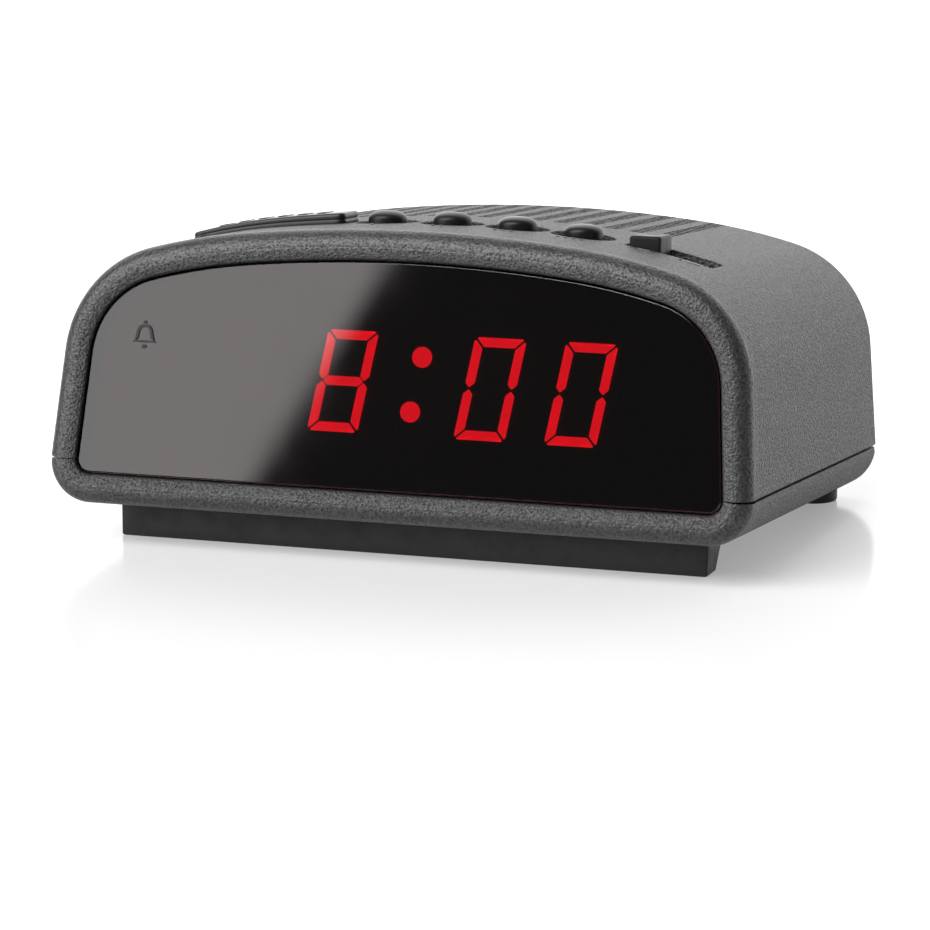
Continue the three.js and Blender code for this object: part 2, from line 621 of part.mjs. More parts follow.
function switchBody() {
  const middle = KNOB_X + SWITCH_TRAVEL / 2;
  const bottom = BOARD_TOP + GAP;
  const heights = [bottom, bottom + SLIDE_BODY[2]];
  const can = box(about(middle, SLIDE_BODY[0]), about(ROW_Y, SLIDE_BODY[1]), heights);
  const trackWidth = SWITCH_TRAVEL + LEVER[0] + 2 * SLIDE_GAP;
  const trackDepth = LEVER[1] + 2 * SLIDE_GAP;
  const track = box(about(middle, trackWidth), about(ROW_Y, trackDepth), [LEVER_Z - GAP, FAR]);
  return cut(can, track);
}

// ---- Boards and what sits on them ------------------------------------------------------------

function mainBoard() {
  const plate = box([-BOARD_HALF, BOARD_HALF], BOARD_Y, [BOARD_Z, BOARD_TOP]);
  const holes = BOARD_SCREW_X.map((x) => rod(THROUGH_R, x, BOARD_SCREW_Y, [0, CASE_TOP], 10));
  return cut(plate, ...holes);
}

const WELL = TACT_STEM_R + SLIDE_GAP;
const STEM_FOOT = TACT_TOP - 0.9;

function tactBody(x) {
  const can = box(about(x, TACT_SIZE), about(ROW_Y, TACT_SIZE), [BOARD_TOP + GAP, TACT_TOP]);
  return cut(can, rod(WELL, x, ROW_Y, [STEM_FOOT - BUTTON_TRAVEL - GAP, TACT_TOP + 1]));
}

const tactStem = (x) => rod(TACT_STEM_R, x, ROW_Y, [STEM_FOOT, STEM_TOP], 20);

function clockChip() {
  const [middle, y] = [1, BOARD_SCREW_Y];
  const bottom = BOARD_TOP + GAP;
  const body = box(about(middle, 18), about(y, 6), [bottom + 0.3, bottom + 2.4]);
  const legs = Array.from({ length: 10 }, (_, i) =>
    box(about(middle + (i - 4.5) * 1.7, 0.6), about(y, 8.4), [bottom, bottom + 0.9]));
  return join(body, ...legs);
}

// Electrolytic capacitor lying under the main board.
function capacitor() {
  const r = 4.5;
  const length = 15.5;
  const bead = [[r, 1.6], [r - 0.4, 2], [r, 2.4]];
  const can = [[0, 0], [r - 0.5, 0], [r, 0.5], ...bead, [r, length - 0.5], [r - 0.5, length], [0, length]];
  const points = can.map(([a, b]) => new THREE.Vector2(a, b));
  const made = new THREE.LatheGeometry(points, 16).rotateZ(-Math.PI / 2);
  return solid(made.translate(16, BOARD_SCREW_Y - 6, BOARD_Z - GAP - r));
}

function rectifier() {
  const side = 7;
  const height = 4.5;
  const top = BOARD_Z - GAP;
  return box([2, 2 + side], [BOARD_SCREW_Y - 2 - side, BOARD_SCREW_Y - 2], [top - height, top]);
}

// ---- Display ---------------------------------------------------------------------------------

// Seven segments of one digit, as mitred outlines of [x, height] about the digit's lower middle.
function segmentOutlines() {
  const w = DIGIT_WIDTH / 2;
  const h = DIGIT_HEIGHT / 2;
  const t = SEGMENT_WIDTH;
  const g = 0.14; // half the space between segments
  const flat = (z) => [[-w + t + g, z - t / 2], [w - t - g, z - t / 2], [w - t / 2 - g, z],
    [w - t - g, z + t / 2], [-w + t + g, z + t / 2], [-w + t / 2 + g, z]];
  const upright = (side, low) => {
    const x = side * (w - t / 2);
    const [a, b] = [low + g, low + h - t / 2 - g];
    const right = [[x, a], [x + t / 2, a + t / 2], [x + t / 2, b - t / 2]];
    return [...right, [x, b], [x - t / 2, b - t / 2], [x - t / 2, a + t / 2]];
  };
  const low = t / 2;
  return [
    flat(t / 2), flat(h), flat(2 * h - t / 2),
    upright(-1, low), upright(1, low), upright(-1, h), upright(1, h),
  ];
}

const slanted = ([x, z]) => [x + (z - DIGIT_HEIGHT / 2) * Math.tan(DIGIT_SLANT), z];

// Light shafts of the four digits and the colon.
function lightShafts(depths) {
  const shafts = [];
  for (const middle of DIGITS_X) {
    for (const points of segmentOutlines()) {
      const placed = points.map(slanted).map(([x, z]) => [DISPLAY_X + middle + x, DIGIT_BOTTOM + z]);
      shafts.push(prismY(placed, depths));
    }
  }
  for (const height of COLON_HEIGHTS) {
    const dot = new THREE.CylinderGeometry(COLON_R, COLON_R, depths[1] - depths[0], 14);
    const [x, z] = slanted([0, height]);
    shafts.push(solid(dot.translate(DISPLAY_X + x, (depths[0] + depths[1]) / 2, DIGIT_BOTTOM + z)));
  }
  return join(...shafts);
}

const DISPLAY_HALF = COLON_SPACE + DIGIT_PITCH + DIGIT_WIDTH / 2 + DISPLAY_MARGIN + 0.8;

function displayFilm() {
  const depths = [DISPLAY_DEPTH, DISPLAY_DEPTH + FILM];
  return onFace(box(about(DISPLAY_X, 2 * DISPLAY_HALF), depths, DISPLAY_HEIGHTS));
}

function displayReflector() {
  const front = DISPLAY_DEPTH + FILM + GAP;
  const depths = [front, front + REFLECTOR_THICKNESS];
  const block = box(about(DISPLAY_X, 2 * DISPLAY_HALF), depths, DISPLAY_HEIGHTS);
  return onFace(cut(block, lightShafts([depths[0] - 1, depths[1] + 1])));
}

function displayBoard() {
  const width = 2 * (DISPLAY_HALF + DISPLAY_BOARD_MARGIN[0]);
  const depths = [DISPLAY_BACK, DISPLAY_BACK + BOARD_THICKNESS];
  return onFace(box(about(DISPLAY_X, width), depths, DISPLAY_BOARD_HEIGHTS));
}

// Flat cable from the display board's back to the main board's underside.
function ribbonCable() {
  const thickness = 0.9;
  const depth = DISPLAY_BACK + BOARD_THICKNESS + GAP + thickness / 2;
  const start = new THREE.Vector3(0, depth, DISPLAY_HEIGHTS[0] + 4).applyMatrix4(FACE_FRAME);
  const end = [BOARD_Y[0] + 3.5, BOARD_Z - GAP - thickness / 2];
  const path = new THREE.CubicBezierCurve(
    new THREE.Vector2(start.y, start.z),
    new THREE.Vector2(start.y + 1, start.z + 6),
    new THREE.Vector2(end[0] - 8, end[1] - 3),
    new THREE.Vector2(end[0] + 2, end[1]),
  );
  const middle = path.getPoints(12);
  const side = (sign) => middle.map((point, i) => {
    const along = path.getTangent(i / 12);
    return [point.x - (sign * along.y * thickness) / 2, point.y + (sign * along.x * thickness) / 2];
  });
  return prismX([...side(-1), ...side(1).reverse()], about(DISPLAY_X, 14));
}

// ---- Loudspeaker -----------------------------------------------------------------------------

function speakerFrame() {
  const rim = speakerRim();
  const floor = rim - SPEAKER_DEPTH;
  const profile = [
    [SPEAKER_R, rim], [SPEAKER_R, rim - SPEAKER_RIM], [SPEAKER_R - 1.6, rim - SPEAKER_RIM],
    [MAGNET_R, floor], [3.4, floor], [3.4, floor + 0.8], [MAGNET_R - 0.8, floor + 0.8],
    [SPEAKER_R - 2.6, rim - 0.8], [SPEAKER_R - 2.6, rim], [SPEAKER_R, rim],
  ];
  return turned(profile, 0, GRILLE_Y, 20);
}

function speakerCone() {
  const rim = speakerRim();
  const floor = rim - SPEAKER_DEPTH;
  const edge = SPEAKER_R - 2.6 - GAP;
  const thickness = 0.5;
  const profile = [
    [0, floor + 2.6], [2.4, floor + 2.2], [3.4, floor + 1.6], [edge, rim - 0.1],
    [edge, rim - 0.1 - thickness], [3.4, floor + 1.1], [0, floor + 1.1],
  ];
  return turned(profile, 0, GRILLE_Y, 20);
}

function speakerMagnet() {
  const top = speakerRim() - SPEAKER_DEPTH - GAP;
  const low = top - MAGNET_HEIGHT;
  const profile = [[0, top], [MAGNET_R, top], [MAGNET_R, low + 0.5], [MAGNET_R - 0.5, low], [0, low]];
  return turned(profile, 0, GRILLE_Y, 20);
}

// ---- Transformer -----------------------------------------------------------------------------

const CORE_RANGE_Z = [CORE_Z, CORE_Z + CORE[2]];
const WINDOW_Z = [CORE_Z + YOKE, CORE_Z + CORE[2] - YOKE];

function transformerCore() {
  const block = box(about(CORE_X, CORE[0]), about(CORE_Y, CORE[1]), CORE_RANGE_Z);
  const side = CORE[0] / 2 - YOKE;
  const windows = [-1, 1].map((sign) => {
    const range = [LIMB / 2, side].map((x) => CORE_X + sign * x).sort((a, b) => a - b);
    return box(range, about(CORE_Y, CORE[1] + 2), WINDOW_Z);
  });
  return cut(block, ...windows);
}

function transformerWinding() {
  const height = [WINDOW_Z[0] + GAP, WINDOW_Z[1] - GAP];
  const width = LIMB + 2 * GAP;
  const depth = CORE[1] + 2 * GAP;
  const outer = box(about(CORE_X, width + 2 * WINDING - 0.2), about(CORE_Y, depth + 2 * WINDING), height);
  return cut(outer, box(about(CORE_X, width), about(CORE_Y, depth), [0, FAR]));
}

// Strap over the core, with an ear on each side.
function transformerStrap() {
  const inside = CORE[0] / 2 + GAP;
  const top = CORE_RANGE_Z[1] + GAP;
  const ear = STRAP_BOSS_TOP + GAP;
  const end = inside + STRAP + STRAP_EAR;
  const right = [[inside + STRAP, top + STRAP], [inside + STRAP, ear + STRAP], [end, ear + STRAP],
    [end, ear], [inside, ear], [inside, top]];
  const left = right.map(([x, z]) => [-x, z]).reverse();
  const profile = [...right, ...left].map(([x, z]) => [CORE_X + x, z]);
  const strap = prismY(profile, about(CORE_Y, STRAP_WIDTH));
  return cut(strap, ...strapEars().map((x) => rod(THROUGH_R, x, CORE_Y, [0, ear + 2], 10)));
}

// ---- Gland and screws ------------------------------------------------------------------------

// Grooved bush: the rear wall sits in its groove and the cord passes through its oval hole.
function cordGland() {
  const wallOut = CASE_DEPTH + GAP;
  const wallIn = CASE_DEPTH - WALL - GAP;
  const rim = GLAND_R + GLAND_FLANGE;
  const profile = [
    [0, wallIn - 1.5], [rim, wallIn - 1.5], [rim, wallIn], [GLAND_R, wallIn], [GLAND_R, wallOut],
    [rim, wallOut], [rim, wallOut + 1], [rim - 0.6, wallOut + 1.6], [0, wallOut + 1.6],
  ];
  const bush = new THREE.LatheGeometry(profile.map(([r, y]) => new THREE.Vector2(r, y)), 20);
  const hole = new THREE.CylinderGeometry(GLAND_HOLE[1] / 2, GLAND_HOLE[1] / 2, 20, 16);
  const widen = hole.scale(GLAND_HOLE[0] / GLAND_HOLE[1], 1, 1).translate(GLAND_X, CASE_DEPTH, GLAND_Z);
  return cut(solid(bush.translate(GLAND_X, 0, GLAND_Z)), solid(widen));
}

// Pan-head screw with a cross recess. Its head's seat is at z, and its shank points up, or down
// where turn is -1.
function screw(x, y, z, { r = SCREW_R, head = SCREW_HEAD_R, height = SCREW_HEAD, length, turn = 1 }) {
  const profile = [
    [0, -height], [head * 0.75, -height], [head, -height * 0.5], [head, 0], [r, 0],
    [r, length - 1], [0, length],
  ];
  const points = profile.map(([a, b]) => new THREE.Vector2(a, b));
  const body = solid(new THREE.LatheGeometry(points, 8).rotateX(Math.PI / 2));
  const bar = [-head * 0.55, head * 0.55];
  const slit = [-0.25, 0.25];
  const deep = [-height - 1, -height * 0.5];
  const made = cut(body, box(bar, slit, deep), box(slit, bar, deep));
  return solid(geometryOf(made).scale(1, 1, turn).translate(x, y, z));
}

// ---- Assembly --------------------------------------------------------------------------------

function build() {
  const body = new THREE.Group();
  const add = (name, made, material) => {
    const mesh = new THREE.Mesh(geometryOf(made), material);
    mesh.name = name;
    body.add(mesh);
  };
  const whole = wholeCase();
  const hollow = shell(whole);
  add("upper_housing", upperHousing(whole, hollow), CHARCOAL);
  add("lower_housing", lowerHousing(whole, hollow), CHARCOAL);
  add("display_window", displayWindow(), WINDOW);
  add("front_foot", frontFoot(), FOOT_RUBBER);
  rearFootPlaces().forEach((place, i) => {
    add(`rear_foot_${["left", "right"][i]}`, rearFoot(place), FOOT_RUBBER);
  });
  add("snooze_bar", snoozeBar(), SATIN_BLACK);
  for (const { name, x } of BUTTONS) add(`${name}_button`, button(x), SATIN_BLACK);
  add("switch_knob", switchKnob(), SATIN_BLACK);
  add("switch_lever", switchLever(), WHITE_PLASTIC);
  add("switch_body", switchBody(), STEEL);
  add("main_board", mainBoard(), BOARD);
  for (const { name, x } of [...BUTTONS, { name: "snooze", x: SNOOZE_MID }]) {
    add(`${name}_tact_body`, tactBody(x), FERRITE);
    add(`${name}_tact_stem`, tactStem(x), WHITE_PLASTIC);
  }
  add("clock_chip", clockChip(), FERRITE);
  add("smoothing_capacitor", capacitor(), SATIN_BLACK);
  add("rectifier_bridge", rectifier(), FERRITE);
  add("display_film", displayFilm(), RED_FILM);
  add("display_reflector", displayReflector(), WHITE_PLASTIC);
  add("display_board", displayBoard(), BOARD);
  add("ribbon_cable", ribbonCable(), RIBBON);
  add("speaker_frame", speakerFrame(), STEEL);
  add("speaker_cone", speakerCone(), PAPER);
  add("speaker_magnet", speakerMagnet(), FERRITE);
  add("transformer_core", transformerCore(), LAMINATION);
  add("transformer_winding", transformerWinding(), COPPER);
  add("transformer_strap", transformerStrap(), STEEL);
  add("cord_gland", cordGland(), FOOT_RUBBER);
  caseScrewPlaces().forEach(([x, y], i) => {
    const size = { head: CASE_SCREW.head, height: 1.8, length: CASE_SCREW.length };
    add(`case_screw_${i + 1}`, screw(x, y, SEAM_Z - 2.2 - GAP, size), STEEL);
  });
  BOARD_SCREW_X.forEach((x, i) => {
    add(`board_screw_${i + 1}`, screw(x, BOARD_SCREW_Y, BOARD_Z - GAP, { length: SMALL_SCREW }), STEEL);
  });
  strapEars().forEach((x, i) => {
    const seat = STRAP_BOSS_TOP + 2 * GAP + STRAP;
    add(`strap_screw_${i + 1}`, screw(x, CORE_Y, seat, { length: 4.5, turn: -1 }), STEEL);
  });
  body.rotation.x = -LEAN;
  return body;
}

// The part's origin is the middle of its footprint, on the table.
const clock = new THREE.Group();
clock.add(build());
clock.updateMatrixWorld(true);
const size = new THREE.Box3().setFromObject(clock, true);
clock.children[0].position.set(-(size.min.x + size.max.x) / 2, -(size.min.y + size.max.y) / 2, 0);

export default clock;
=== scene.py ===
"""Visual model of a bedside mains clock with a red LED display, built around its CAD frame.

Lengths in the shape functions are millimetres in the case's own frame (+X right, +Y back, +Z up,
y = 0 at the window's front edge); row_frame() leans the case back and turns them into metres.
"""

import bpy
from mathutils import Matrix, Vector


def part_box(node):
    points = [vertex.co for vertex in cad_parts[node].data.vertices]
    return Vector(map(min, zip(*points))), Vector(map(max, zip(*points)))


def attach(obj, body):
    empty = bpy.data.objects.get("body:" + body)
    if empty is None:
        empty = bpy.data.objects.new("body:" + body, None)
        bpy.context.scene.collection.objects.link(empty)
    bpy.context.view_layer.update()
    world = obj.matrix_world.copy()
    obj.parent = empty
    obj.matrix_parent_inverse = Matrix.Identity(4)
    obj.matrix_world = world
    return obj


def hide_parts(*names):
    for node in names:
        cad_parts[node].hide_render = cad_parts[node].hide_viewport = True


bl_info = {
    "name": "Bedside LED Clock",
    "version": (1, 0, 0),
    "blender": (4, 5, 0),
    "location": "3D View > Sidebar > Clock",
    "description": "Builds the housings, window, display, controls and feet of a mains LED clock",
    "category": "Add Mesh",
}

import math

import bpy
import numpy as np
from bpy.props import FloatProperty, FloatVectorProperty, PointerProperty
from mathutils import Matrix

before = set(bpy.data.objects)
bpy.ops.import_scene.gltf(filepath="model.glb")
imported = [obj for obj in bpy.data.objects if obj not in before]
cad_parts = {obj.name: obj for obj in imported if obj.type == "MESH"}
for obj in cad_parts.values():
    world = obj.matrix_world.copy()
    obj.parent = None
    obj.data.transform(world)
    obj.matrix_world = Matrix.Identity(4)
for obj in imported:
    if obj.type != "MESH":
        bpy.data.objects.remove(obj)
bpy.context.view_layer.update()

# ---- Sizes of the case, in millimetres ----

MM = 0.001
MIRROR = np.array([-1.0, 1.0])
LEAN = math.radians(3.72)  # the whole case leans back on its feet
HALF_WIDTH = 55.685  # at the lower ends of the sides
BOTTOM = 6.36  # of the case, over the feet
HEIGHT = 43.2
TOP = BOTTOM + HEIGHT
DEPTH = 72.8
BOTTOM_R = 6.7
SIDE_LEAN = math.radians(4.57)
CORNER_R = 17.6
SHOULDER_R = 98.0
CROWN_R = 240.0
CROWN_END = math.radians(83.7)  # direction in which the crown meets the shoulder
REAR_DROP = 0.62  # how much lower the top is at the back
REAR_R = 2.3
FACE_TILT = math.radians(7.42)
WALL = 2.0
REAR_WALL_INSET = WALL + 0.8
SEAM_Z = BOTTOM + 6.7
SEAM_GAP = 0.2
LIP = 1.4  # depth of the bezel's rear face behind its inner edge
BEZEL = 4.55  # width of the bezel
CREST = 2.5  # how far in from the side the bezel stands out most
PROUD = 1.14  # how far it stands out there
BEZEL_SIDE = 1.4  # where its curve meets the side
LIP_STEP = 0.06  # depth between the inner sheet's rings behind the bezel
SIDE_BLEND = (0.12, 0.4, 0.7)  # rows between the bezel and the straight side
FACE_BREAK, SIDE_BREAK = 0.05, 0.2  # how far the seam's edges are broken
GRID = {"top": 0.8, "behind": 2.1, "row": 0.75, "under": 3.0}  # widest spaces between lines

ROW_Y = 24.5
ROW_WINDOW_Y = (19.25, 29.75)
BUTTON_R = 2.95
BUTTON_X = {"time": -10.0, "alarm": 0.5, "hour": 11.0, "minute": 21.5}
BUTTON_RISE, BUTTON_CROWN = 1.75, 1.25  # height over the case, and of the dome alone
BUTTON_FOOT = 42.9  # z of the shaft's lower end
SNOOZE_X = (-41.0, -15.9)
SNOOZE_DEPTH = 7.0
SNOOZE_GAP = 0.3
SNOOZE_TOP = 1.18  # height of its pad over the case
SNOOZE_GROWTH = 0.33  # how much higher the bar stands at its right end
RIB_PITCH = 3.25
SLOT_X = (29.0, 42.7)
SLOT_DEPTH = 6.4
SLIT_X = (30.5, 40.9)
SLIT_HALF = 1.4
SLOT_Y = ROW_Y - 0.4
KNOB_X = 32.2
KNOB = (4.9, 5.9)
KNOB_RISE = 1.9
PLATE_X, PLATE_Z = KNOB_X - 1.65, 41.75  # middle and underside of its guide plate

GRILLE_Y = 55.0
GRILLE_PITCH = (4.14, 2.07)
GRILLE_SLOT = (2.3, 1.4)
GRILLE_COUNT = 7  # slots on each side of the middle one

GLAND = (30.0, SEAM_Z + 2.9)
GLAND_R = 5.2
SCREW_X = 46.0
SCREW_Y = (24.0, 57.5)
SCREW_SEAT_Z = SEAM_Z - 2.2
WELL_HALF = 3.6  # half side of the square patch round a screw's well

FOOT_TOP = BOTTOM - 0.04
FRONT_FOOT = {"half": 46.85, "flare": 0.15, "front": 8.3, "back": 12.9, "deeper": 3.1}
REAR_FOOT = (46.8, 66.8)  # x and y of a rear foot's axis

DISPLAY_X = 2.15
DIGIT_BOTTOM = 13.24
DIGIT_HEIGHT = 15.24
DIGIT_WIDTH = 8.0
DIGIT_CENTRES = (("8", -11.64), ("0", 11.64), ("0", 25.78))
DIGIT_SLANT = math.radians(9.6)
SEGMENT = 1.4
COLON_R = 1.55
COLON_HEIGHTS = (3.6, 11.8)
BAR_DEPTHS = (3.68, 3.84)
MASK_DEPTHS = (3.26, 3.36)
BELL = np.array([-41.0, 24.9])
BELL_HEIGHT = 2.7
BELL_DEPTHS = (-0.12, 0.12)

BOARD_FRONT_LOW = (19.5, 36.2)  # y and z of the main board's lower front edge
OFFSET_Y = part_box("main_board")[0].y / MM - (
    BOARD_FRONT_LOW[0] * math.cos(LEAN) + BOARD_FRONT_LOW[1] * math.sin(LEAN)
)


# ---- Frames and meshes ----


def row_frame(points):
    """Turns case millimetres into row metres: a turn by LEAN about X, then a move along Y."""
    p = np.asarray(points, float)
    c, s = math.cos(LEAN), math.sin(LEAN)
    y = p[:, 1] * c + p[:, 2] * s + OFFSET_Y
    z = p[:, 2] * c - p[:, 1] * s
    return np.column_stack([p[:, 0], y, z]) * MM


def face_frame(x, depth, height):
    """Points on the tilted front: depth runs back from the window, height up along the face."""
    c, s = math.cos(FACE_TILT), math.sin(FACE_TILT)
    y = depth * c + height * s
    z = BOTTOM + height * c - depth * s
    return np.column_stack(np.broadcast_arrays(x, y, z)).astype(float)


def make_piece(name, points, faces, body, slot, material, replaces=(), sharp=32.0, values=None):
    """A closed mesh that rides on a body.

    The signed volume is the sum of each corner triangle's box product; if it is below zero,
    every face is turned round.
    """
    placed = row_frame(points)
    volume = 0.0
    for block in faces:
        block = np.asarray(block)
        for k in range(1, block.shape[1] - 1):
            a, b, c = placed[block[:, 0]], placed[block[:, k]], placed[block[:, k + 1]]
            volume += np.einsum("ij,ij->i", a, np.cross(b, c)).sum()
    blocks = [np.asarray(b)[:, ::-1] if volume < 0 else np.asarray(b) for b in faces]
    mesh = bpy.data.meshes.new(name)
    mesh.from_pydata(placed.tolist(), [], [f for b in blocks for f in b.tolist()])
    mesh.shade_smooth()
    mesh.set_sharp_from_angle(angle=math.radians(sharp))
    if values is not None:
        # The attribute grain sets the grain's depth and roughness, and also a painted shade in the
        # case's colour.
        layer = mesh.attributes.new("grain", "FLOAT", "POINT")
        layer.data.foreach_set("value", np.asarray(values, np.float32))
    mesh.materials.append(material)
    piece = bpy.data.objects.new(name, mesh)
    bpy.context.scene.collection.objects.link(piece)
    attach(piece, body)
    if replaces:
        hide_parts(*replaces)
    return piece


def grid_faces(rows, columns, wrap=False):
    """Quads of a grid whose vertices run along the columns first; wrap joins the last column
    to the first."""
    j, i = np.meshgrid(np.arange(rows - 1), np.arange(columns - 1 + wrap), indexing="ij")
    k = (i + 1) % columns
    corners = [j * columns + i, j * columns + k, (j + 1) * columns + k, (j + 1) * columns + i]
    return np.stack(corners, -1).reshape(-1, 4)


def zip_faces(count, start=0):
    """Faces across a ring that is mirrored about the line through its points 0 and count / 2:
    point k is joined to point count - k."""
    k = np.arange(1, count // 2 - 1)
    quads = np.stack([k, k + 1, count - k - 1, count - k], -1) + start
    h = count // 2
    ends = np.array([[0, 1, count - 1], [h - 1, h, h + 1]]) + start
    return quads, ends


def loft(rings):
    """A closed solid through rings of equal count, closed across its first and last ring."""
    rings = np.asarray(rings, float)
    rows, count = rings.shape[:2]
    side = grid_faces(rows, count, wrap=True)
    first, first_ends = zip_faces(count)
    last, last_ends = zip_faces(count, (rows - 1) * count)
    quads = np.vstack([side, first[:, ::-1], last])
    return rings.reshape(-1, 3), [quads, np.vstack([first_ends[:, ::-1], last_ends])]


def torus(rings):
    """A closed band through rings of equal count, the last joined to the first."""
    rings = np.asarray(rings, float)
    rows, count = rings.shape[:2]
    quads = grid_faces(rows + 1, count, wrap=True) % (rows * count)
    return rings.reshape(-1, 3), [quads]


def merged(parts):
    """Several closed meshes as one list of points and faces."""
    points, faces, start = [], {}, 0
    for p, blocks in parts:
        for b in blocks:
            b = np.asarray(b) + start
            faces.setdefault(b.shape[1], []).append(b)
        points.append(p)
        start += len(p)
    return np.vstack(points), [np.vstack(v) for v in faces.values()]


def wall(outer, inner, quads):
    """A wall between a sheet and a second sheet of the same vertices: the outer faces, the inner
    faces turned over, and a strip across each edge that only one face uses."""
    n = len(outer)
    a = quads.reshape(-1)
    b = np.roll(quads, -1, axis=1).reshape(-1)
    key = np.minimum(a, b) * n + np.maximum(a, b)
    _, where, counts = np.unique(key, return_index=True, return_counts=True)
    edge = where[counts == 1]
    rim = np.stack([b[edge], a[edge], a[edge] + n, b[edge] + n], -1)
    return np.vstack([outer, inner]), [np.vstack([quads, quads[:, ::-1] + n, rim])]


def circle(sides):
    """Cosines and sines of the directions of a circle's points."""
    turn = np.linspace(0, 2 * math.pi, sides, endpoint=False)
    return np.cos(turn), np.sin(turn)


def rounded_rectangle(centre, half, r, straight=(12, 4), corner=6):
    """A rounded rectangle from its right-hand middle, counter-clockwise, mirrored about its
    long middle line: points of the corner arcs, with straight runs between them."""
    hx, hy = half
    turn = np.linspace(0, math.pi / 2, corner + 1)
    corner_x, corner_y = hx - r + r * np.cos(turn), hy - r + r * np.sin(turn)
    up = np.linspace(0, hy - r, straight[1] + 1)[:-1]
    across = np.linspace(hx - r, -(hx - r), straight[0] + 1)[1:-1]
    side = np.full(len(up), hx)
    x = np.concatenate([side, corner_x, across, -corner_x[::-1], -side])
    y = np.concatenate([up, corner_y, np.full(len(across), hy), corner_y[::-1], up[::-1]])
    x = np.concatenate([x, x[1:-1][::-1]])
    y = np.concatenate([y, -y[1:-1][::-1]])
    return centre[0] + x, centre[1] + y


def raised(line, z):
    """The points of a line (its x and its y) at the height z: one number, or one for each."""
    return np.column_stack([*line, np.broadcast_to(z, line[0].shape)])


def fans(sides, total):
    """Triangles from the points numbered total and total + 1 to the first and the last ring."""
    k = np.arange(sides)
    after, last = (k + 1) % sides, total - sides
    return np.vstack([np.stack([np.full(sides, total), after, k], -1),
                      np.stack([np.full(sides, total + 1), last + k, last + after], -1)])


def turned(profile, x, y, sides=64):
    """A body of revolution about an upright axis, from [radius, height] points that start and end
    on the axis: each inner point swept round, and a fan at each end."""
    profile = np.asarray(profile, float)
    ring = profile[1:-1]
    across, along = circle(sides)
    px, py = x + ring[:, :1] * across, y + ring[:, :1] * along
    points = np.stack([px, py, np.broadcast_to(ring[:, 1:], px.shape)], -1).reshape(-1, 3)
    ends = [[x, y, profile[0, 1]], [x, y, profile[-1, 1]]]
    faces = [grid_faces(len(ring), sides, wrap=True), fans(sides, len(points))]
    return np.vstack([points, ends]), faces


# ---- The case's outline ----


def direction(angle):
    """Unit vectors in the directions of some angles."""
    return np.stack([np.cos(angle), np.sin(angle)], -1)


def outline_arcs():
    """Centres of the right half's arcs, and where the corner arc meets the shoulder arc."""
    crown = np.array([0.0, TOP - CROWN_R])
    shoulder = crown + direction(CROWN_END) * (CROWN_R - SHOULDER_R)
    bottom = np.array([HALF_WIDTH - BOTTOM_R, BOTTOM + BOTTOM_R])
    lean = direction(SIDE_LEAN)
    side = lean @ bottom + BOTTOM_R
    reach = SHOULDER_R - CORNER_R
    turn = math.acos((side - CORNER_R - lean @ shoulder) / reach) + SIDE_LEAN
    return crown, shoulder, bottom, shoulder + direction(turn) * reach, turn


CROWN_C, SHOULDER_C, BOTTOM_C, CORNER_C, TURN = outline_arcs()
CROWN_X = CROWN_R * math.cos(CROWN_END)
SHOULDER_X = SHOULDER_C[0] + SHOULDER_R * math.cos(TURN)


def dropped(z, y):
    """Heights in the case, lowered towards the back in proportion to height and depth."""
    return BOTTOM + (z - BOTTOM) * (1 - REAR_DROP * np.maximum(y, 0) / (DEPTH * HEIGHT))


def roof_arcs(x):
    """The arc over each x: its centre on the right half, its radius and its direction."""
    ax = np.abs(x)
    on_crown, on_shoulder = ax <= CROWN_X, ax <= SHOULDER_X
    cx = np.where(on_crown, CROWN_C[0], np.where(on_shoulder, SHOULDER_C[0], CORNER_C[0]))
    cz = np.where(on_crown, CROWN_C[1], np.where(on_shoulder, SHOULDER_C[1], CORNER_C[1]))
    r = np.where(on_crown, CROWN_R, np.where(on_shoulder, SHOULDER_R, CORNER_R))
    return cx, cz, r, np.arccos((ax - cx) / r)


def roof_z(x, y=ROW_Y):
    """Height of the top: the arc's height over x, dropped at depth y."""
    _, cz, r, angle = roof_arcs(np.asarray(x, float))
    return dropped(cz + r * np.sin(angle), y)


class Outline:
    """Points round the case, each held as an arc's centre, radius and direction, so that an
    inset moves every point along its own normal. It is made of runs of centres, radii and
    directions, in which a single value is repeated."""

    def __init__(self, *runs):
        full = []
        for centres, radii, angles in runs:
            count = max(np.size(centres) // 2, np.size(radii), np.size(angles))
            full.append((np.broadcast_to(centres, (count, 2)), np.broadcast_to(radii, count),
                         np.broadcast_to(angles, count)))
        self.centres, self.radii, self.angles = (np.concatenate(part) for part in zip(*full))

    def ring(self, inset):
        r = np.maximum(self.radii - inset, 0.3)
        return self.centres + r[:, None] * direction(self.angles)

    def part(self, *cut):
        """A run of this outline's points."""
        cut = slice(*cut)
        return self.centres[cut], self.radii[cut], self.angles[cut]

    def mirrored(self):
        """This half, then its mirror image without the shared end point, as one open line."""
        centres, radii, angles = self.part(-2, None, -1)
        return Outline(self.part(None), (centres * MIRROR, radii, math.pi - angles))


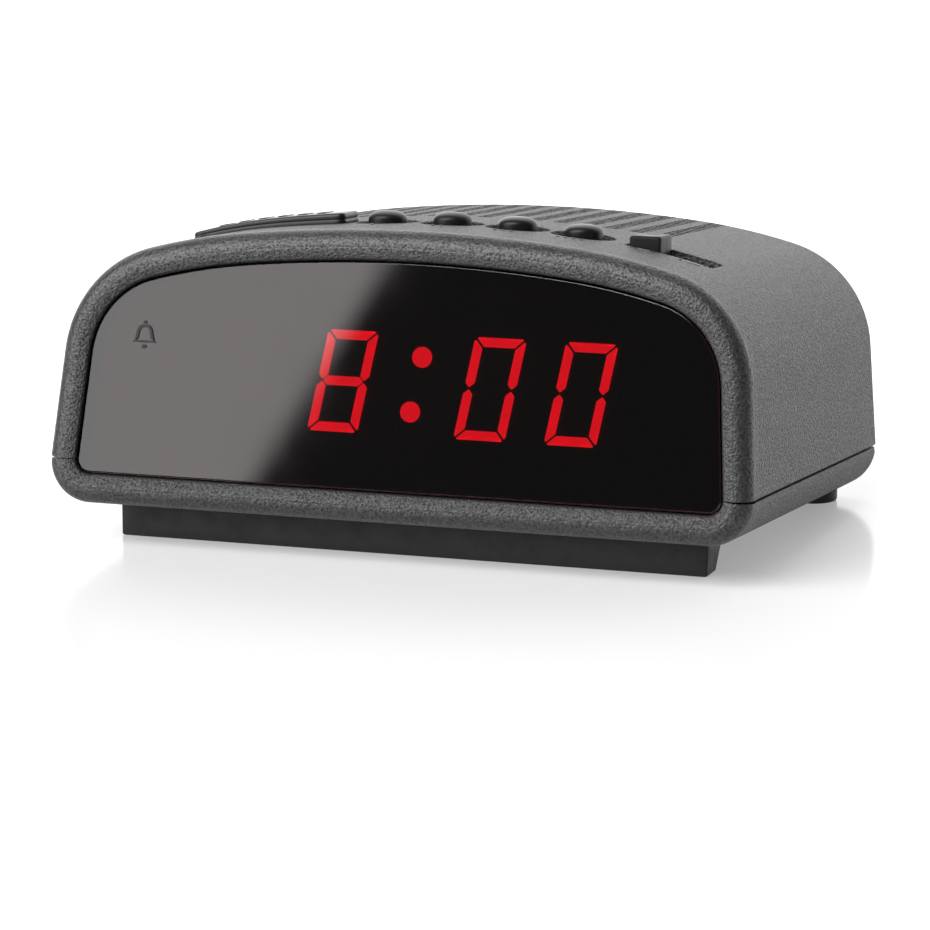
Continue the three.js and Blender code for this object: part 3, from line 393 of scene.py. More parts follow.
def upper_half(xs, side_steps=8, corner_steps=16, foot_steps=2):
    """The right half over the seam: a bit of the bottom arc, the leaning side as circles that
    grow from one arc to the other, the corner arc, then the points over each x of xs."""
    t = np.linspace(0, 1, side_steps + 1)[1:]
    last = max(xs[0], 0)
    stop = float(roof_arcs(np.array([last]))[3][0]) if last > SHOULDER_X else TURN
    side = BOTTOM_C + (CORNER_C - BOTTOM_C) * t[:, None]
    cx, cz, r, angle = roof_arcs(np.asarray(xs, float))
    foot = np.linspace(SEAM_GAP / BOTTOM_R, SIDE_LEAN, foot_steps + 1)
    return Outline((BOTTOM_C, BOTTOM_R, foot),
                   (side, BOTTOM_R + (CORNER_R - BOTTOM_R) * t, SIDE_LEAN),
                   (CORNER_C, CORNER_R, np.linspace(SIDE_LEAN, stop, corner_steps + 1)[1:-1]),
                   (np.column_stack([cx, cz]), r, angle))


def bottom_run(xs):
    """A run of points along the flat bottom."""
    return np.column_stack([xs, np.full(len(xs), BOTTOM_C[1])]), BOTTOM_R, -math.pi / 2


def whole_outline():
    """The whole case's outline as a closed ring from the bottom's middle, mirrored about x = 0."""
    bend = np.linspace(-math.pi / 2, SEAM_GAP / BOTTOM_R, 11)[1:-1]
    half = Outline(bottom_run(np.linspace(0, 1, 14) * BOTTOM_C[0]), (BOTTOM_C, BOTTOM_R, bend),
                   upper_half(np.linspace(SHOULDER_X, 0, 40)).part(None))
    return Outline(half.mirrored().part(-1))


def station_ring(outline, inset, depth, tilt):
    """An outline at a depth: y grows with height where tilt is 1, as the front face leans."""
    xz = outline.ring(inset)
    y = depth + tilt * math.tan(FACE_TILT) * (xz[:, 1] - BOTTOM)
    return np.column_stack([xz[:, 0], y, dropped(xz[:, 1], y)])


def filled(lines, step):
    """Sorted lines, with each space wider than step divided evenly."""
    lines = np.unique(np.round(lines, 4))
    runs = [np.linspace(a, b, max(1, math.ceil((b - a) / step - 1e-6)) + 1)[:-1]
            for a, b in zip(lines[:-1], lines[1:])]
    return np.concatenate(runs + [lines[-1:]])


def bezel_stations():
    """Inset, depth and grain from the bezel's inner edge to the case's side: up a curve whose
    depth falls with the distance from the crest to the power 1.6, then down a quarter of an
    ellipse. Low grain also darkens the case's colour, a painted shade on the inner edge and
    the rounded band."""
    edge, start = BEZEL - 0.12, 0.06
    # Grain 0 on the inner edge darkens its colour, a painted shadow of the gap by the window.
    rows = [(BEZEL, 0.12, 0.0), (BEZEL - 0.03, 0.03, 0.0), (edge, -start, 0.5)]
    for t in np.linspace(1, 0, 9)[1:-1]:
        depth = -PROUD + (PROUD - start) * t**1.6
        rows.append((CREST + t * (edge - CREST), depth, 0.25 + 0.75 * min(1, t * 1.5)))
    # Grain 0.2 on the rounded band gives a smoother surface and a darker colour, which is painted
    # shade.
    for a in np.linspace(0, math.pi / 2, 13):
        depth = BEZEL_SIDE - (BEZEL_SIDE + PROUD) * math.cos(a)
        rows.append((CREST * (1 - math.sin(a)), depth, 0.2))
    return rows


SIDE_ROW = len(bezel_stations()) + len(SIDE_BLEND)  # the first row of a housing's straight side


def case_stations(ys):
    """Rows of (inset, depth, tilt) for the outer and the inner sheet, with each row's grain and
    how deep the seam's edges are broken: the bezel, the side at each y of ys, the rear edge.
    Low grain also gives the colour a painted shade."""
    rows = []
    bezel = bezel_stations()
    for k, (inset, depth, grain) in enumerate(bezel):
        inner = (min(max(inset, WALL), BEZEL), LIP + LIP_STEP * k, 1.0)
        rows.append(((inset, depth, 1.0), inner, grain, FACE_BREAK))
    for t in SIDE_BLEND:
        outer = (0.0, BEZEL_SIDE * (1 - t) + ys[0] * t, 1.0 - t)
        inner = (WALL, (LIP + LIP_STEP * len(bezel)) * (1 - t) + ys[0] * t, 1.0 - t)
        rows.append((outer, inner, min(1.0, 0.12 + 4 * t), SIDE_BREAK))
    for y in ys:
        rows.append(((0.0, y, 0.0), (WALL, min(y, DEPTH - WALL - 1.4), 0.0), 1.0, SIDE_BREAK))
    for a in np.linspace(0, math.pi / 2, 7):
        part = a / (math.pi / 2)
        outer = (REAR_R * (1 - math.cos(a)), DEPTH - REAR_R * (1 - math.sin(a)), 0.0)
        inner = (WALL + 0.8 * part, DEPTH - WALL - 1.0 * (1 - part), 0.0)
        rows.append((outer, inner, 1.0, SIDE_BREAK))
    return rows


def rear_rings(outline, angles, y, inset, steps=5):
    """The rear wall: rings that run straight from the outline to the cord gland's hole."""
    edge = station_ring(outline, inset, y, 0.0)
    hole = np.column_stack([GLAND[0] + GLAND_R * np.cos(angles), np.full(len(angles), y),
                            GLAND[1] + GLAND_R * np.sin(angles)])
    t = np.linspace(0, 1, steps + 1)[1:, None, None]
    return edge[None] * (1 - t) + hole[None] * t


def gland_angles(ring, low, high):
    """Directions from the gland to each outline point, stretched to run from low to high."""
    angle = np.unwrap(np.arctan2(ring[:, 1] - GLAND[1], ring[:, 0] - GLAND[0]))
    t = (angle - angle[0]) / (angle[-1] - angle[0])
    return low + (high - low) * t


def housing_sheets(outline, ys, side):
    """Outer and inner sheets of a housing as arrays of rings, with the grain of each ring, which
    also sets painted shade in the colour. side is 1 over the seam and -1 under it; the
    outline's two ends are the seam's broken edges."""
    edges = np.zeros(len(outline.angles))
    edges[[0, -1]] = 1.0
    outer, inner, grain = [], [], []
    # roughness here is each row's grain, which also sets a painted shade in the colour.
    for (inset, depth, tilt), within, roughness, seam in case_stations(ys):
        outer.append(station_ring(outline, inset + edges * seam, depth, tilt))
        inner.append(station_ring(outline, *within))
        grain.append(roughness)
    low = math.asin((SEAM_Z + side * SEAM_GAP - GLAND[1]) / GLAND_R)
    ends = (low, math.pi - low) if side > 0 else (-math.pi - low, low)
    angles = gland_angles(outline.ring(REAR_R), *ends)
    outer += list(rear_rings(outline, angles, DEPTH, REAR_R))
    inner += list(rear_rings(outline, angles, DEPTH - WALL, REAR_WALL_INSET))
    grain += [1.0] * (len(outer) - len(grain))
    return np.array(outer), np.array(inner), np.array(grain)


def hole_line(points, centre, half, r):
    """Each point moved to the nearest point of a rounded rectangle: the point held inside the
    rectangle less its corner radius, then out by that radius towards where it was."""
    core = np.asarray(half) - r
    held = np.clip(points, np.asarray(centre) - core, np.asarray(centre) + core)
    away = points - held
    return held + r * away / np.linalg.norm(away, axis=1, keepdims=True)


def roof_point(xy, drop, wall_depth=0.0):
    """Points under the top: down the arc's normal by the wall, then down by a drop."""
    x, y = xy[:, 0], xy[:, 1]
    cx, cz, r, angle = roof_arcs(x)
    px = np.sign(x) * (cx + (r - wall_depth) * np.cos(angle))
    pz = cz + (r - wall_depth) * np.sin(angle)
    return np.column_stack([np.where(np.abs(x) < 1e-9, 0, px), y, dropped(pz, y) - drop])


# ---- Housings ----


class Housing:
    """A housing as the two sheets of a grid (stations by outline points), in which blocks of
    cells can be left open or be replaced by rings. usable marks the columns that are searched."""

    def __init__(self, outline, ys, side):
        self.outer, self.inner, self.grain = housing_sheets(outline, ys, side)
        self.rows, self.count = self.outer.shape[:2]
        self.ys, self.across = ys, self.outer[SIDE_ROW, :, 0]
        self.usable = np.ones(self.count, bool)
        self.keep = np.ones((self.rows - 1, self.count - 1), bool)
        self.rings, self.faces = [], []
        self.start = self.rows * self.count

    def block(self, xs, ys):
        """The columns and rows between two x and two y; their cells are left out."""
        far = 1e9
        across = np.where(self.usable, self.across, far)
        columns = sorted(int(np.argmin(np.abs(across - x))) for x in xs)
        rows = [SIDE_ROW + int(np.argmin(np.abs(self.ys - y))) for y in ys]
        self.keep[slice(*rows), slice(*columns)] = False
        return columns, rows

    def patch(self, xs, ys, rings):
        """Replaces a block by rings: rings() takes the x and y of the block's edge, counted
        counter-clockwise in column and row, and gives each ring's outer and inner points."""
        n = self.count
        (c0, c1), (r0, r1) = self.block(xs, ys)
        c, r = np.arange(c0, c1), np.arange(r0, r1)
        ring = np.concatenate([r0 * n + c, r * n + c1, r1 * n + c[::-1] + 1,
                               (r[::-1] + 1) * n + c0])
        base = np.column_stack([self.across[ring % n], self.ys[ring // n - SIDE_ROW]])
        for pair in rings(base):
            self.rings.append(pair)
            new = self.start + np.arange(len(ring))
            self.faces.append(np.stack([ring, np.roll(ring, -1), np.roll(new, -1), new], -1))
            ring = new
            self.start += len(ring)

    def walled(self):
        """Points and faces of the closed wall, and the grain at each point, which also sets
        painted shade in the colour.
        """
        quads = grid_faces(self.rows, self.count).reshape(self.rows - 1, self.count - 1, 4)
        outer = np.vstack([self.outer.reshape(-1, 3)] + [pair[0] for pair in self.rings])
        inner = np.vstack([self.inner.reshape(-1, 3)] + [pair[1] for pair in self.rings])
        points, blocks = wall(outer, inner, np.vstack([quads[self.keep]] + self.faces))
        grain = np.repeat(self.grain, self.count)
        grain = np.concatenate([grain, np.ones(self.start - len(grain))])
        return points, blocks, np.concatenate([grain, grain])


def button_levels(x):
    """Rings of a button's dish: rounded edge, steep wall, flat floor and the shaft's hole."""
    steps = [(5.12, 0.0), (5.04, 0.015), (4.98, 0.09), (4.93, 0.5), (4.86, 0.82), (4.68, 0.96),
             (4.4, 1.0), (3.9, 1.0), (3.5, 1.0), (3.3, 1.0), (3.22, 1.07), (3.2, 1.2)]
    return [((x, ROW_Y), (r, r), r, drop) for r, drop in steps]


def opening_levels(xs, y, half_depth, r, steps):
    """Rings of a rounded opening between two x: each grown by a gap and sunk by a drop."""
    middle, half = (sum(xs) / 2, y), (xs[1] - xs[0]) / 2
    return [(middle, (half + gap, half_depth + gap), r + gap, drop) for gap, drop in steps]


def snooze_levels():
    """Rings of the snooze bar's opening, a little wider than the bar."""
    xs = (SNOOZE_X[0] - SNOOZE_GAP, SNOOZE_X[1] + SNOOZE_GAP)
    steps = ((0.16, 0.0), (0.06, 0.015), (0.0, 0.09), (0.0, 0.3))
    return opening_levels(xs, ROW_Y, SNOOZE_DEPTH / 2 + SNOOZE_GAP, 1.0, steps)


def slot_levels():
    """Rings of the slide switch's slot: a shallow recess, then a slit for the knob's stem."""
    recess = ((0.14, 0.0), (0.05, 0.015), (0.0, 0.08), (-0.02, 1.0), (-0.12, 1.1))
    slit = ((0.3, 1.1), (0.05, 1.1), (0.0, 1.16))
    return (opening_levels(SLOT_X, SLOT_Y, SLOT_DEPTH / 2, 0.4, recess)
            + opening_levels(SLIT_X, ROW_Y, SLIT_HALF, 0.3, slit))


ROW_WINDOWS = [((-42.3, -15.25), snooze_levels()),
               ((-15.25, -4.75), button_levels(BUTTON_X["time"])),
               ((-4.75, 5.75), button_levels(BUTTON_X["alarm"])),
               ((5.75, 16.25), button_levels(BUTTON_X["hour"])),
               ((16.25, 26.75), button_levels(BUTTON_X["minute"])),
               ((28.2, 43.1), slot_levels())]


def roof_rings(levels):
    """A function that lays the rings of an opening on the top and under it."""
    def rings(base):
        for centre, half, radius, drop in levels:
            xy = hole_line(base, centre, half, radius)
            yield roof_point(xy, drop), roof_point(xy, 0.0, WALL)
    return rings


def upper_housing_mesh():
    """A grid of outline points by depth, with the grille's cells left out and a patch of rings
    in place of the cells round each control; wall() gives it its thickness."""
    steps = np.arange(-GRILLE_COUNT, GRILLE_COUNT + 1)
    slots_x, slots_y = steps * GRILLE_PITCH[0], GRILLE_Y + steps * GRILLE_PITCH[1]
    half_x, half_y = GRILLE_SLOT[0] / 2, GRILLE_SLOT[1] / 2
    lines = np.concatenate([slots_x - half_x, slots_x + half_x,
                            np.ravel([window for window, _ in ROW_WINDOWS])])
    lines = np.concatenate([lines, -lines, [0.0, SHOULDER_X, -SHOULDER_X]])
    xs = filled(lines, GRID["top"])
    xs = xs[xs >= 0][::-1]
    ys = [[12.0, 14.5, 17.0], ROW_WINDOW_Y, slots_y - half_y, slots_y + half_y]
    ys = filled(np.concatenate(ys), GRID["behind"])
    ys = np.unique(np.concatenate([ys, filled(np.array(ROW_WINDOW_Y), GRID["row"])]))
    housing = Housing(upper_half(xs).mirrored(), ys, 1)
    housing.usable = np.abs(housing.across) <= xs[0] + 0.01
    for x in slots_x:
        for y in slots_y:
            housing.block((x - half_x, x + half_x), (y - half_y, y + half_y))
    for window, levels in ROW_WINDOWS:
        housing.patch(window, ROW_WINDOW_Y, roof_rings(levels))
    return housing.walled()


def well_rings(x, y):
    """A function that builds a case screw's well: for each ring, the outer and the inner radius
    about the screw's axis and their heights."""
    floor, top = BOTTOM + WALL, SEAM_Z - 0.5
    levels = [(3.35, BOTTOM, 4.6, floor), (3.22, BOTTOM + 0.02, 4.4, floor),
              (3.12, BOTTOM + 0.12, 4.3, floor + 0.2), (3.1, SCREW_SEAT_Z - 0.1, 4.3, top - 0.2),
              (3.0, SCREW_SEAT_Z, 4.1, top), (1.6, SCREW_SEAT_Z, 1.9, top),
              (1.5, SCREW_SEAT_Z + 0.1, 1.5, top)]

    def rings(base):
        axis = np.array([x, y])
        away = base - axis
        away /= np.linalg.norm(away, axis=1, keepdims=True)
        for r_out, z_out, r_in, z_in in levels:
            yield raised((axis + away * r_out).T, z_out), raised((axis + away * r_in).T, z_in)
    return rings


def lower_housing_mesh():
    """A grid of outline points by depth under the seam, with a ring patch for each screw well."""
    flat_end, inner_end = BOTTOM_C[0], SCREW_X - WELL_HALF
    xs = np.concatenate([filled(np.array([0.0, inner_end]), GRID["under"])[:-1],
                         filled(np.array([inner_end, flat_end]), GRID["top"])])
    bend = math.asin((SCREW_X + WELL_HALF - flat_end) / BOTTOM_R) - math.pi / 2
    bend = np.linspace(bend, -SEAM_GAP / BOTTOM_R, 12)
    half = Outline(bottom_run(xs), (BOTTOM_C, BOTTOM_R, bend))
    centres, radii, angles = half.part(None, None, -1)
    outline = Outline((centres * MIRROR, radii, -math.pi - angles), half.part(1, None))
    bands = [filled(np.array([y - WELL_HALF, y + WELL_HALF]), GRID["top"]) for y in SCREW_Y]
    ys = filled(np.concatenate([[12.0, 68.0], *bands]), GRID["under"])
    housing = Housing(outline, ys, -1)
    housing.usable = np.abs(housing.outer[SIDE_ROW, :, 2] - BOTTOM) < 0.05
    for x in (-SCREW_X, SCREW_X):
        for y in SCREW_Y:
            housing.patch((x - WELL_HALF, x + WELL_HALF), (y - WELL_HALF, y + WELL_HALF),
                          well_rings(x, y))
    return housing.walled()


# ---- Window, display and feet ----


def window_mesh():
    """Rings of the case's outline, drawn in: the polished front with a broken edge, the side and
    the flange behind the bezel."""
    outline = whole_outline()
    steps = [(BEZEL + 0.42, 0.1), (BEZEL + 0.36, 0.13), (BEZEL + 0.22, 0.22),
             (BEZEL + 0.22, LIP + 0.3), (BEZEL - 2.2, LIP + 0.3), (BEZEL - 2.2, LIP + 1.8)]
    return loft([station_ring(outline, inset, depth, 1.0) for inset, depth in steps])


def mask_mesh():
    """The black print behind the window: a thin band from the flange's outline in to the nearest
    point of a rounded rectangle round the display."""
    low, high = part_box("display_film")
    xz = station_ring(whole_outline(), BEZEL - 1.8, 0.0, 1.0)[:, [0, 2]]
    middle = (DISPLAY_X - 0.4, DIGIT_BOTTOM + BOTTOM + DIGIT_HEIGHT / 2)
    half = ((high.x - low.x) / MM / 2 - 0.6, DIGIT_HEIGHT / 2 + 1.3)
    opening = hole_line(xz, middle, half, 1.0)
    front, back = MASK_DEPTHS
    rings = []
    for line, depth in ((xz, front), (xz, back), (opening, back), (opening, front)):
        leaned = depth + math.tan(FACE_TILT) * (line[:, 1] - BOTTOM)
        rings.append(np.column_stack([line[:, 0], leaned, line[:, 1]]))
    return torus(rings)


def prism(outline, depths):
    """A flat outline on the front face, carried from one depth to another, with a fan at each
    end from its middle."""
    outline = np.asarray(outline, float)
    n, middle = len(outline), outline.mean(0)
    rings = [face_frame(outline[:, 0], d, outline[:, 1]) for d in depths]
    ends = [face_frame(middle[0], d, middle[1]) for d in depths]
    return np.vstack(rings + ends), [grid_faces(2, n, wrap=True), fans(n, 2 * n)]


def softened(corners, r=0.16, steps=3):
    """A polygon with each corner cut back by r along both edges and joined by a curve through
    the two cuts (a quadratic curve with the corner as its control point)."""
    corners = np.asarray(corners, float)
    before, after = np.roll(corners, 1, 0) - corners, np.roll(corners, -1, 0) - corners
    a = corners + before * (r / np.linalg.norm(before, axis=1))[:, None]
    b = corners + after * (r / np.linalg.norm(after, axis=1))[:, None]
    t = np.linspace(0, 1, steps + 1)[:, None, None]
    curve = (1 - t) ** 2 * a + 2 * t * (1 - t) * corners + t**2 * b
    return curve.transpose(1, 0, 2).reshape(-1, 2)


def slanted(points, x):
    """Moves a digit's outline into place and leans it by the digits' slant."""
    p = np.asarray(points, float)
    return np.column_stack([x + p[:, 0] + (p[:, 1] - DIGIT_HEIGHT / 2) * math.tan(DIGIT_SLANT),
                            DIGIT_BOTTOM + p[:, 1]])


def digit_segments():
    """The seven mitred bars of a digit, by letter from the top clockwise, g in the middle. The
    outer corners are cut by a slanting line, cut from the corner; gap is the mitre's width."""
    w, h, t, g = DIGIT_WIDTH / 2, DIGIT_HEIGHT / 2, SEGMENT, 0.14
    cut, gap = 0.6, 0.24

    def outer(z, out):
        end = [(w - cut, z), (w - (cut + gap) / 2, z - out * (cut - gap) / 2),
               (w - t - gap, z - out * t)]
        return end + [(-x, y) for x, y in end[::-1]]

    def flat(z):
        return [(-w + t + g, z - t / 2), (w - t - g, z - t / 2), (w - t / 2 - g, z),
                (w - t - g, z + t / 2), (-w + t + g, z + t / 2), (-w + t / 2 + g, z)]

    def upright(side, low):  # low is 1 over the middle and -1 under it
        tip, base, out = h + low * g, h + low * (g + t / 2), h + low * h
        line = [(w - t / 2, tip), (w, base), (w, out - low * cut),
                (w - (cut - gap) / 2, out - low * (cut + gap) / 2), (w - t, out - low * (t + gap)),
                (w - t, base)]
        return [(side * x, z) for x, z in line]

    return {"a": outer(2 * h, 1), "b": upright(1, 1), "c": upright(1, -1), "d": outer(0.0, -1),
            "e": upright(-1, -1), "f": upright(-1, 1), "g": flat(h)}


def display_mesh():
    """Lit bars of "8:00": each bar a thin plate in front of the diffuser, and two round dots."""
    bars = digit_segments()
    parts = []
    for text, centre in DIGIT_CENTRES:
        for letter in "abcdefg" if text == "8" else "abcdef":
            parts.append(prism(slanted(softened(bars[letter]), DISPLAY_X + centre), BAR_DEPTHS))
    across, up = circle(32)
    for height in COLON_HEIGHTS:
        x, z = slanted([(0.0, height)], DISPLAY_X)[0]
        parts.append(prism(np.column_stack([x + COLON_R * across, z + COLON_R * up]), BAR_DEPTHS))
    return merged(parts)


def bell_mesh():
    """A small bell on the window, a raised line of even width: half-width as a function of
    height (narrow dome, straight waist, flared rim), with a round clapper under it and a round
    loop over it."""
    rise = np.linspace(0, 1, 13)
    half = 0.5 + 0.95 * np.sqrt(1 - rise**2.6) + 0.6 * np.exp(-rise * 9)
    right = np.column_stack([half, rise * BELL_HEIGHT])
    outer = np.vstack([right, right[::-1] * MIRROR])
    middle = np.array([0.0, 1.15])
    inner = middle + (outer - middle) * np.array([0.68, 0.72])
    front, back = BELL_DEPTHS
    rings = []
    for line, depth in ((outer, back), (outer, front), (inner, front), (inner, back)):
        px, pz = (line + BELL).T
        rings.append(face_frame(px, depth, pz))
    across, up = circle(20)
    x, z = BELL
    dots = [prism(np.column_stack([x + a * across, z + lift + b * up]), BELL_DEPTHS)
            for a, b, lift in ((0.36, 0.3, -0.62), (0.26, 0.24, 3.08))]
    return merged([torus(rings), *dots])


def table_z(y):
    """Height of the table in the case's frame."""
    return y * math.tan(LEAN)


def foot_ring(px, py, t):
    """Points at the share t of the way up from the table to the case."""
    low = table_z(py)
    return np.column_stack([px, py, low + (FOOT_TOP - low) * t])


def front_foot_mesh():
    """Rounded rectangles stacked from the table to the case: narrower and shallower below."""
    front = FRONT_FOOT["front"]
    steps = ((0.0, 0.2), (0.02, 0.06), (0.05, 0.0), (0.3, 0.0), (0.6, 0.0), (0.97, 0.0),
             (1.0, 0.08))
    rings = []
    for t, inset in steps:
        width = FRONT_FOOT["half"] + FRONT_FOOT["flare"] * t
        back = FRONT_FOOT["back"] + FRONT_FOOT["deeper"] * t
        half = (width - inset, (back - front) / 2 - inset)
        line = rounded_rectangle((0.0, (front + back) / 2), half, 0.3, (40, 4))
        rings.append(foot_ring(*line, t))
    return loft(rings)


def rear_foot_mesh(x):
    """Circles stacked from the table to the case, the lowest drawn in for a rounded edge."""
    across, along = circle(48)
    y = REAR_FOOT[1]
    steps = ((2.3, 0.0), (3.3, 0.0), (3.6, 0.05), (3.72, 0.14), (3.75, 0.3), (3.75, 0.9),
             (3.6, 1.0))
    return loft([foot_ring(x + r * across, y + r * along, t) for r, t in steps])


# ---- Controls ----


def button_mesh(x):
    """A cap whose top is a flat ellipse, r to the 2.3 plus height to the 2.3 = 1, over a straight
    shaft with a collar and a pusher."""
    top, foot, collar = float(roof_z(x)) + BUTTON_RISE, BUTTON_FOOT, BUTTON_R + 1.25
    side = top - BUTTON_CROWN
    cap = [(BUTTON_R * math.sin(a) ** (2 / 2.3), side + BUTTON_CROWN * math.cos(a) ** (2 / 2.3))
           for a in np.linspace(0, math.pi / 2, 15)]
    cap[0] = (0.0, top)
    shaft = [(BUTTON_R, side - 0.4), (BUTTON_R, foot + 1.4), (collar, foot + 1.4),
             (collar, foot + 0.6), (1.7, foot + 0.6), (1.7, foot), (0.0, foot)]
    return turned(cap + shaft, x, ROW_Y)


def snooze_mesh():
    """Rounded rectangles stacked over the top: a straight skirt, a fine step, a rounded edge and
    a pad whose middle is a little higher. Heights grow by a third from left to right."""
    middle = sum(SNOOZE_X) / 2
    length = SNOOZE_X[1] - SNOOZE_X[0]
    hx, hy = length / 2, SNOOZE_DEPTH / 2
    steps = [(-1.25, -3.5, 0.0), (-1.25, -2.6, 0.0), (0.45, -2.6, 0.0), (0.45, -0.25, 0.0),
             (0.0, 0.05, 0.0), (0.0, 0.42, 0.0), (0.05, 0.5, 0.0), (0.12, 0.52, 0.0),
             (0.12, 0.6, 0.0), (0.02, 0.66, 0.0), (0.02, 0.84, 0.0), (0.06, 0.98, 0.0),
             (0.16, 1.09, 0.0), (0.3, 1.15, 0.0), (0.5, SNOOZE_TOP, 0.0), (1.2, SNOOZE_TOP, 0.02),
             (2.0, SNOOZE_TOP, 0.03), (2.8, SNOOZE_TOP, 0.03)]
    rings = []
    for inset, height, crown in steps:
        r = max(1.1 - inset, 0.3) if inset >= 0 else 1.4
        px, py = rounded_rectangle((middle, ROW_Y), (hx - inset, hy - inset), r, (44, 5), 7)
        grown = 1 + SNOOZE_GROWTH * max(height, 0) * (px - SNOOZE_X[0]) / length
        bow = crown * (1 - ((py - ROW_Y) / 3.5) ** 2)
        rings.append(raised((px, py), roof_z(px) + height * grown + bow))
    return loft(rings)


def rib_mesh():
    """Six low ribs across the snooze bar, each a rounded bar laid along the top."""
    middle = sum(SNOOZE_X) / 2
    parts = []
    for k in range(6):
        rings = []
        for inset, h in ((0.0, 1.1), (0.0, 1.24), (0.06, 1.32), (0.18, 1.37), (0.32, 1.38)):
            half = (0.85 - inset, 1.75 - inset)
            centre = (middle + (k - 2.5) * RIB_PITCH, ROW_Y)
            px, py = rounded_rectangle(centre, half, 0.5 - inset * 0.8, (4, 6), 5)
            along = (px - SNOOZE_X[0]) / (SNOOZE_X[1] - SNOOZE_X[0])
            grown = SNOOZE_GROWTH * SNOOZE_TOP**2 * along
            rings.append(raised((px, py), roof_z(px) + h + grown))
        parts.append(loft(rings))
    return merged(parts)


def knob_mesh():
    """Rounded rectangles stacked from the guide plate, up the stem and over the cap, whose
    underside follows the floor of the slot's recess."""
    top = float(roof_z(KNOB_X)) + KNOB_RISE
    hx, hy = KNOB[0] / 2, KNOB[1] / 2

    def ring(x, y, a, b, r, z):
        line = rounded_rectangle((x, y), (a, b), r, (6, 4), 5)
        return raised(line, z(*line) if callable(z) else z)

    def recess(rise):
        return lambda px, py: roof_z(px, py) - 0.98 + rise

    rings = [ring(PLATE_X, ROW_Y, 3.55, 3.6, 0.5, PLATE_Z),
             ring(PLATE_X, ROW_Y, 3.55, 3.6, 0.5, PLATE_Z + 0.4),
             ring(KNOB_X, ROW_Y, 1.5, 1.2, 0.3, PLATE_Z + 0.4),
             ring(KNOB_X, ROW_Y, 1.5, 0.95, 0.3, PLATE_Z + 2.4),
             ring(KNOB_X, ROW_Y, 1.5, 0.95, 0.3, recess(0.0)),
             ring(KNOB_X, SLOT_Y, hx - 0.2, hy - 0.2, 0.3, recess(0.0)),
             ring(KNOB_X, SLOT_Y, hx, hy, 0.4, recess(0.2))]
    over = [(0.0, 0.4, -0.4), (0.04, 0.38, -0.24), (0.14, 0.34, -0.1), (0.3, 0.3, -0.02),
            (0.46, 0.26, 0.0), (0.8, 0.24, -0.02), (1.4, 0.2, -0.12)]
    for inset, r, rise in over:
        rings.append(ring(KNOB_X, SLOT_Y, hx - inset, hy - inset, r, top + rise))
    return loft(rings)


def dome(x, y, r, rise):
    """A low round bump on the top: a quarter of an ellipse turned about its axis, closed below."""
    z = float(roof_z(x, y))
    turn = np.linspace(0, math.pi / 2, 5)
    cap = [(r * math.sin(a), z + rise * math.cos(a)) for a in turn]
    cap[0] = (0.0, z + rise)
    return turned(cap + [(r, z - 0.25), (0.0, z - 0.25)], x, y, 14)


def bar_bump(x, y, half, rise=0.16):
    """A low bar on the top: rounded rectangles drawn in as they rise."""
    rings = []
    for inset, h in ((0.0, -0.25), (0.0, 0.04), (0.05, rise * 0.8), (0.14, rise)):
        r = min(half) * 0.8 - inset * 0.9
        line = rounded_rectangle((x, y), (half[0] - inset, half[1] - inset), r, (4, 3), 4)
        rings.append(raised(line, roof_z(*line) + h))
    return loft(rings)


def marks_mesh():
    """Raised marks: one to four dots in front of the buttons; a bar, a dot and a bar in front
    of the slide switch."""
    parts = []
    for count, x in enumerate(BUTTON_X.values(), 1):
        for k in range(count):
            parts.append(dome(x + (k - (count - 1) / 2) * 1.25, 17.6, 0.36, 0.2))
    parts.append(bar_bump(32.75, 19.4, (1.1, 0.28)))
    parts.append(dome(38.25, 19.3, 0.36, 0.2))
    parts.append(bar_bump(40.3, 19.3, (1.1, 0.28)))
    return merged(parts)


def gland_mesh():
    """A grooved bush as a closed band of ovals: outer collar, groove for the wall, inner collar
    and the cord's oval hole."""
    across, up = circle(56)
    out, back = DEPTH + 0.12, DEPTH - WALL - 0.12
    steps = [(6.4, 6.4, out), (6.4, 6.4, out + 0.8), (6.2, 6.2, out + 1.25), (5.7, 5.7, out + 1.5),
             (4.0, 3.8, out + 1.55), (3.5, 3.3, out + 1.4), (3.3, 3.1, out + 1.0),
             (3.3, 3.1, back - 1.4), (6.2, 6.2, back - 1.4), (6.4, 6.4, back - 1.2),
             (6.4, 6.4, back), (5.05, 5.05, back), (5.05, 5.05, out)]
    return torus([np.column_stack([GLAND[0] + a * across, np.full(len(up), y), GLAND[1] + b * up])
                  for a, b, y in steps])


# ---- Materials ----


class Nodes:
    """A node tree with short ways to add nodes. Inputs are numbers, colours or other sockets."""

    def __init__(self, owner):
        owner.use_nodes = True
        self.tree = owner.node_tree
        self.tree.nodes.clear()

    def node(self, kind, inputs=None, **values):
        node = self.tree.nodes.new(kind)
        for key, value in values.items():
            setattr(node, key, value)
        for key, value in (inputs or {}).items():
            self.put(node.inputs[key], value)
        return node

    def put(self, socket, value):
        if isinstance(value, bpy.types.NodeSocket):
            self.tree.links.new(value, socket)
        else:
            socket.default_value = value

    def spread(self, source, low, high, start=0.3, end=0.7, **values):
        """A value from start to end spread over low to high."""
        inputs = {"Value": source, "From Min": start, "From Max": end, "To Min": low,
                  "To Max": high}
        return self.node("ShaderNodeMapRange", inputs, **values).outputs["Result"]

    def maths(self, operation, a, b):
        return self.node("ShaderNodeMath", {0: a, 1: b}, operation=operation).outputs["Value"]


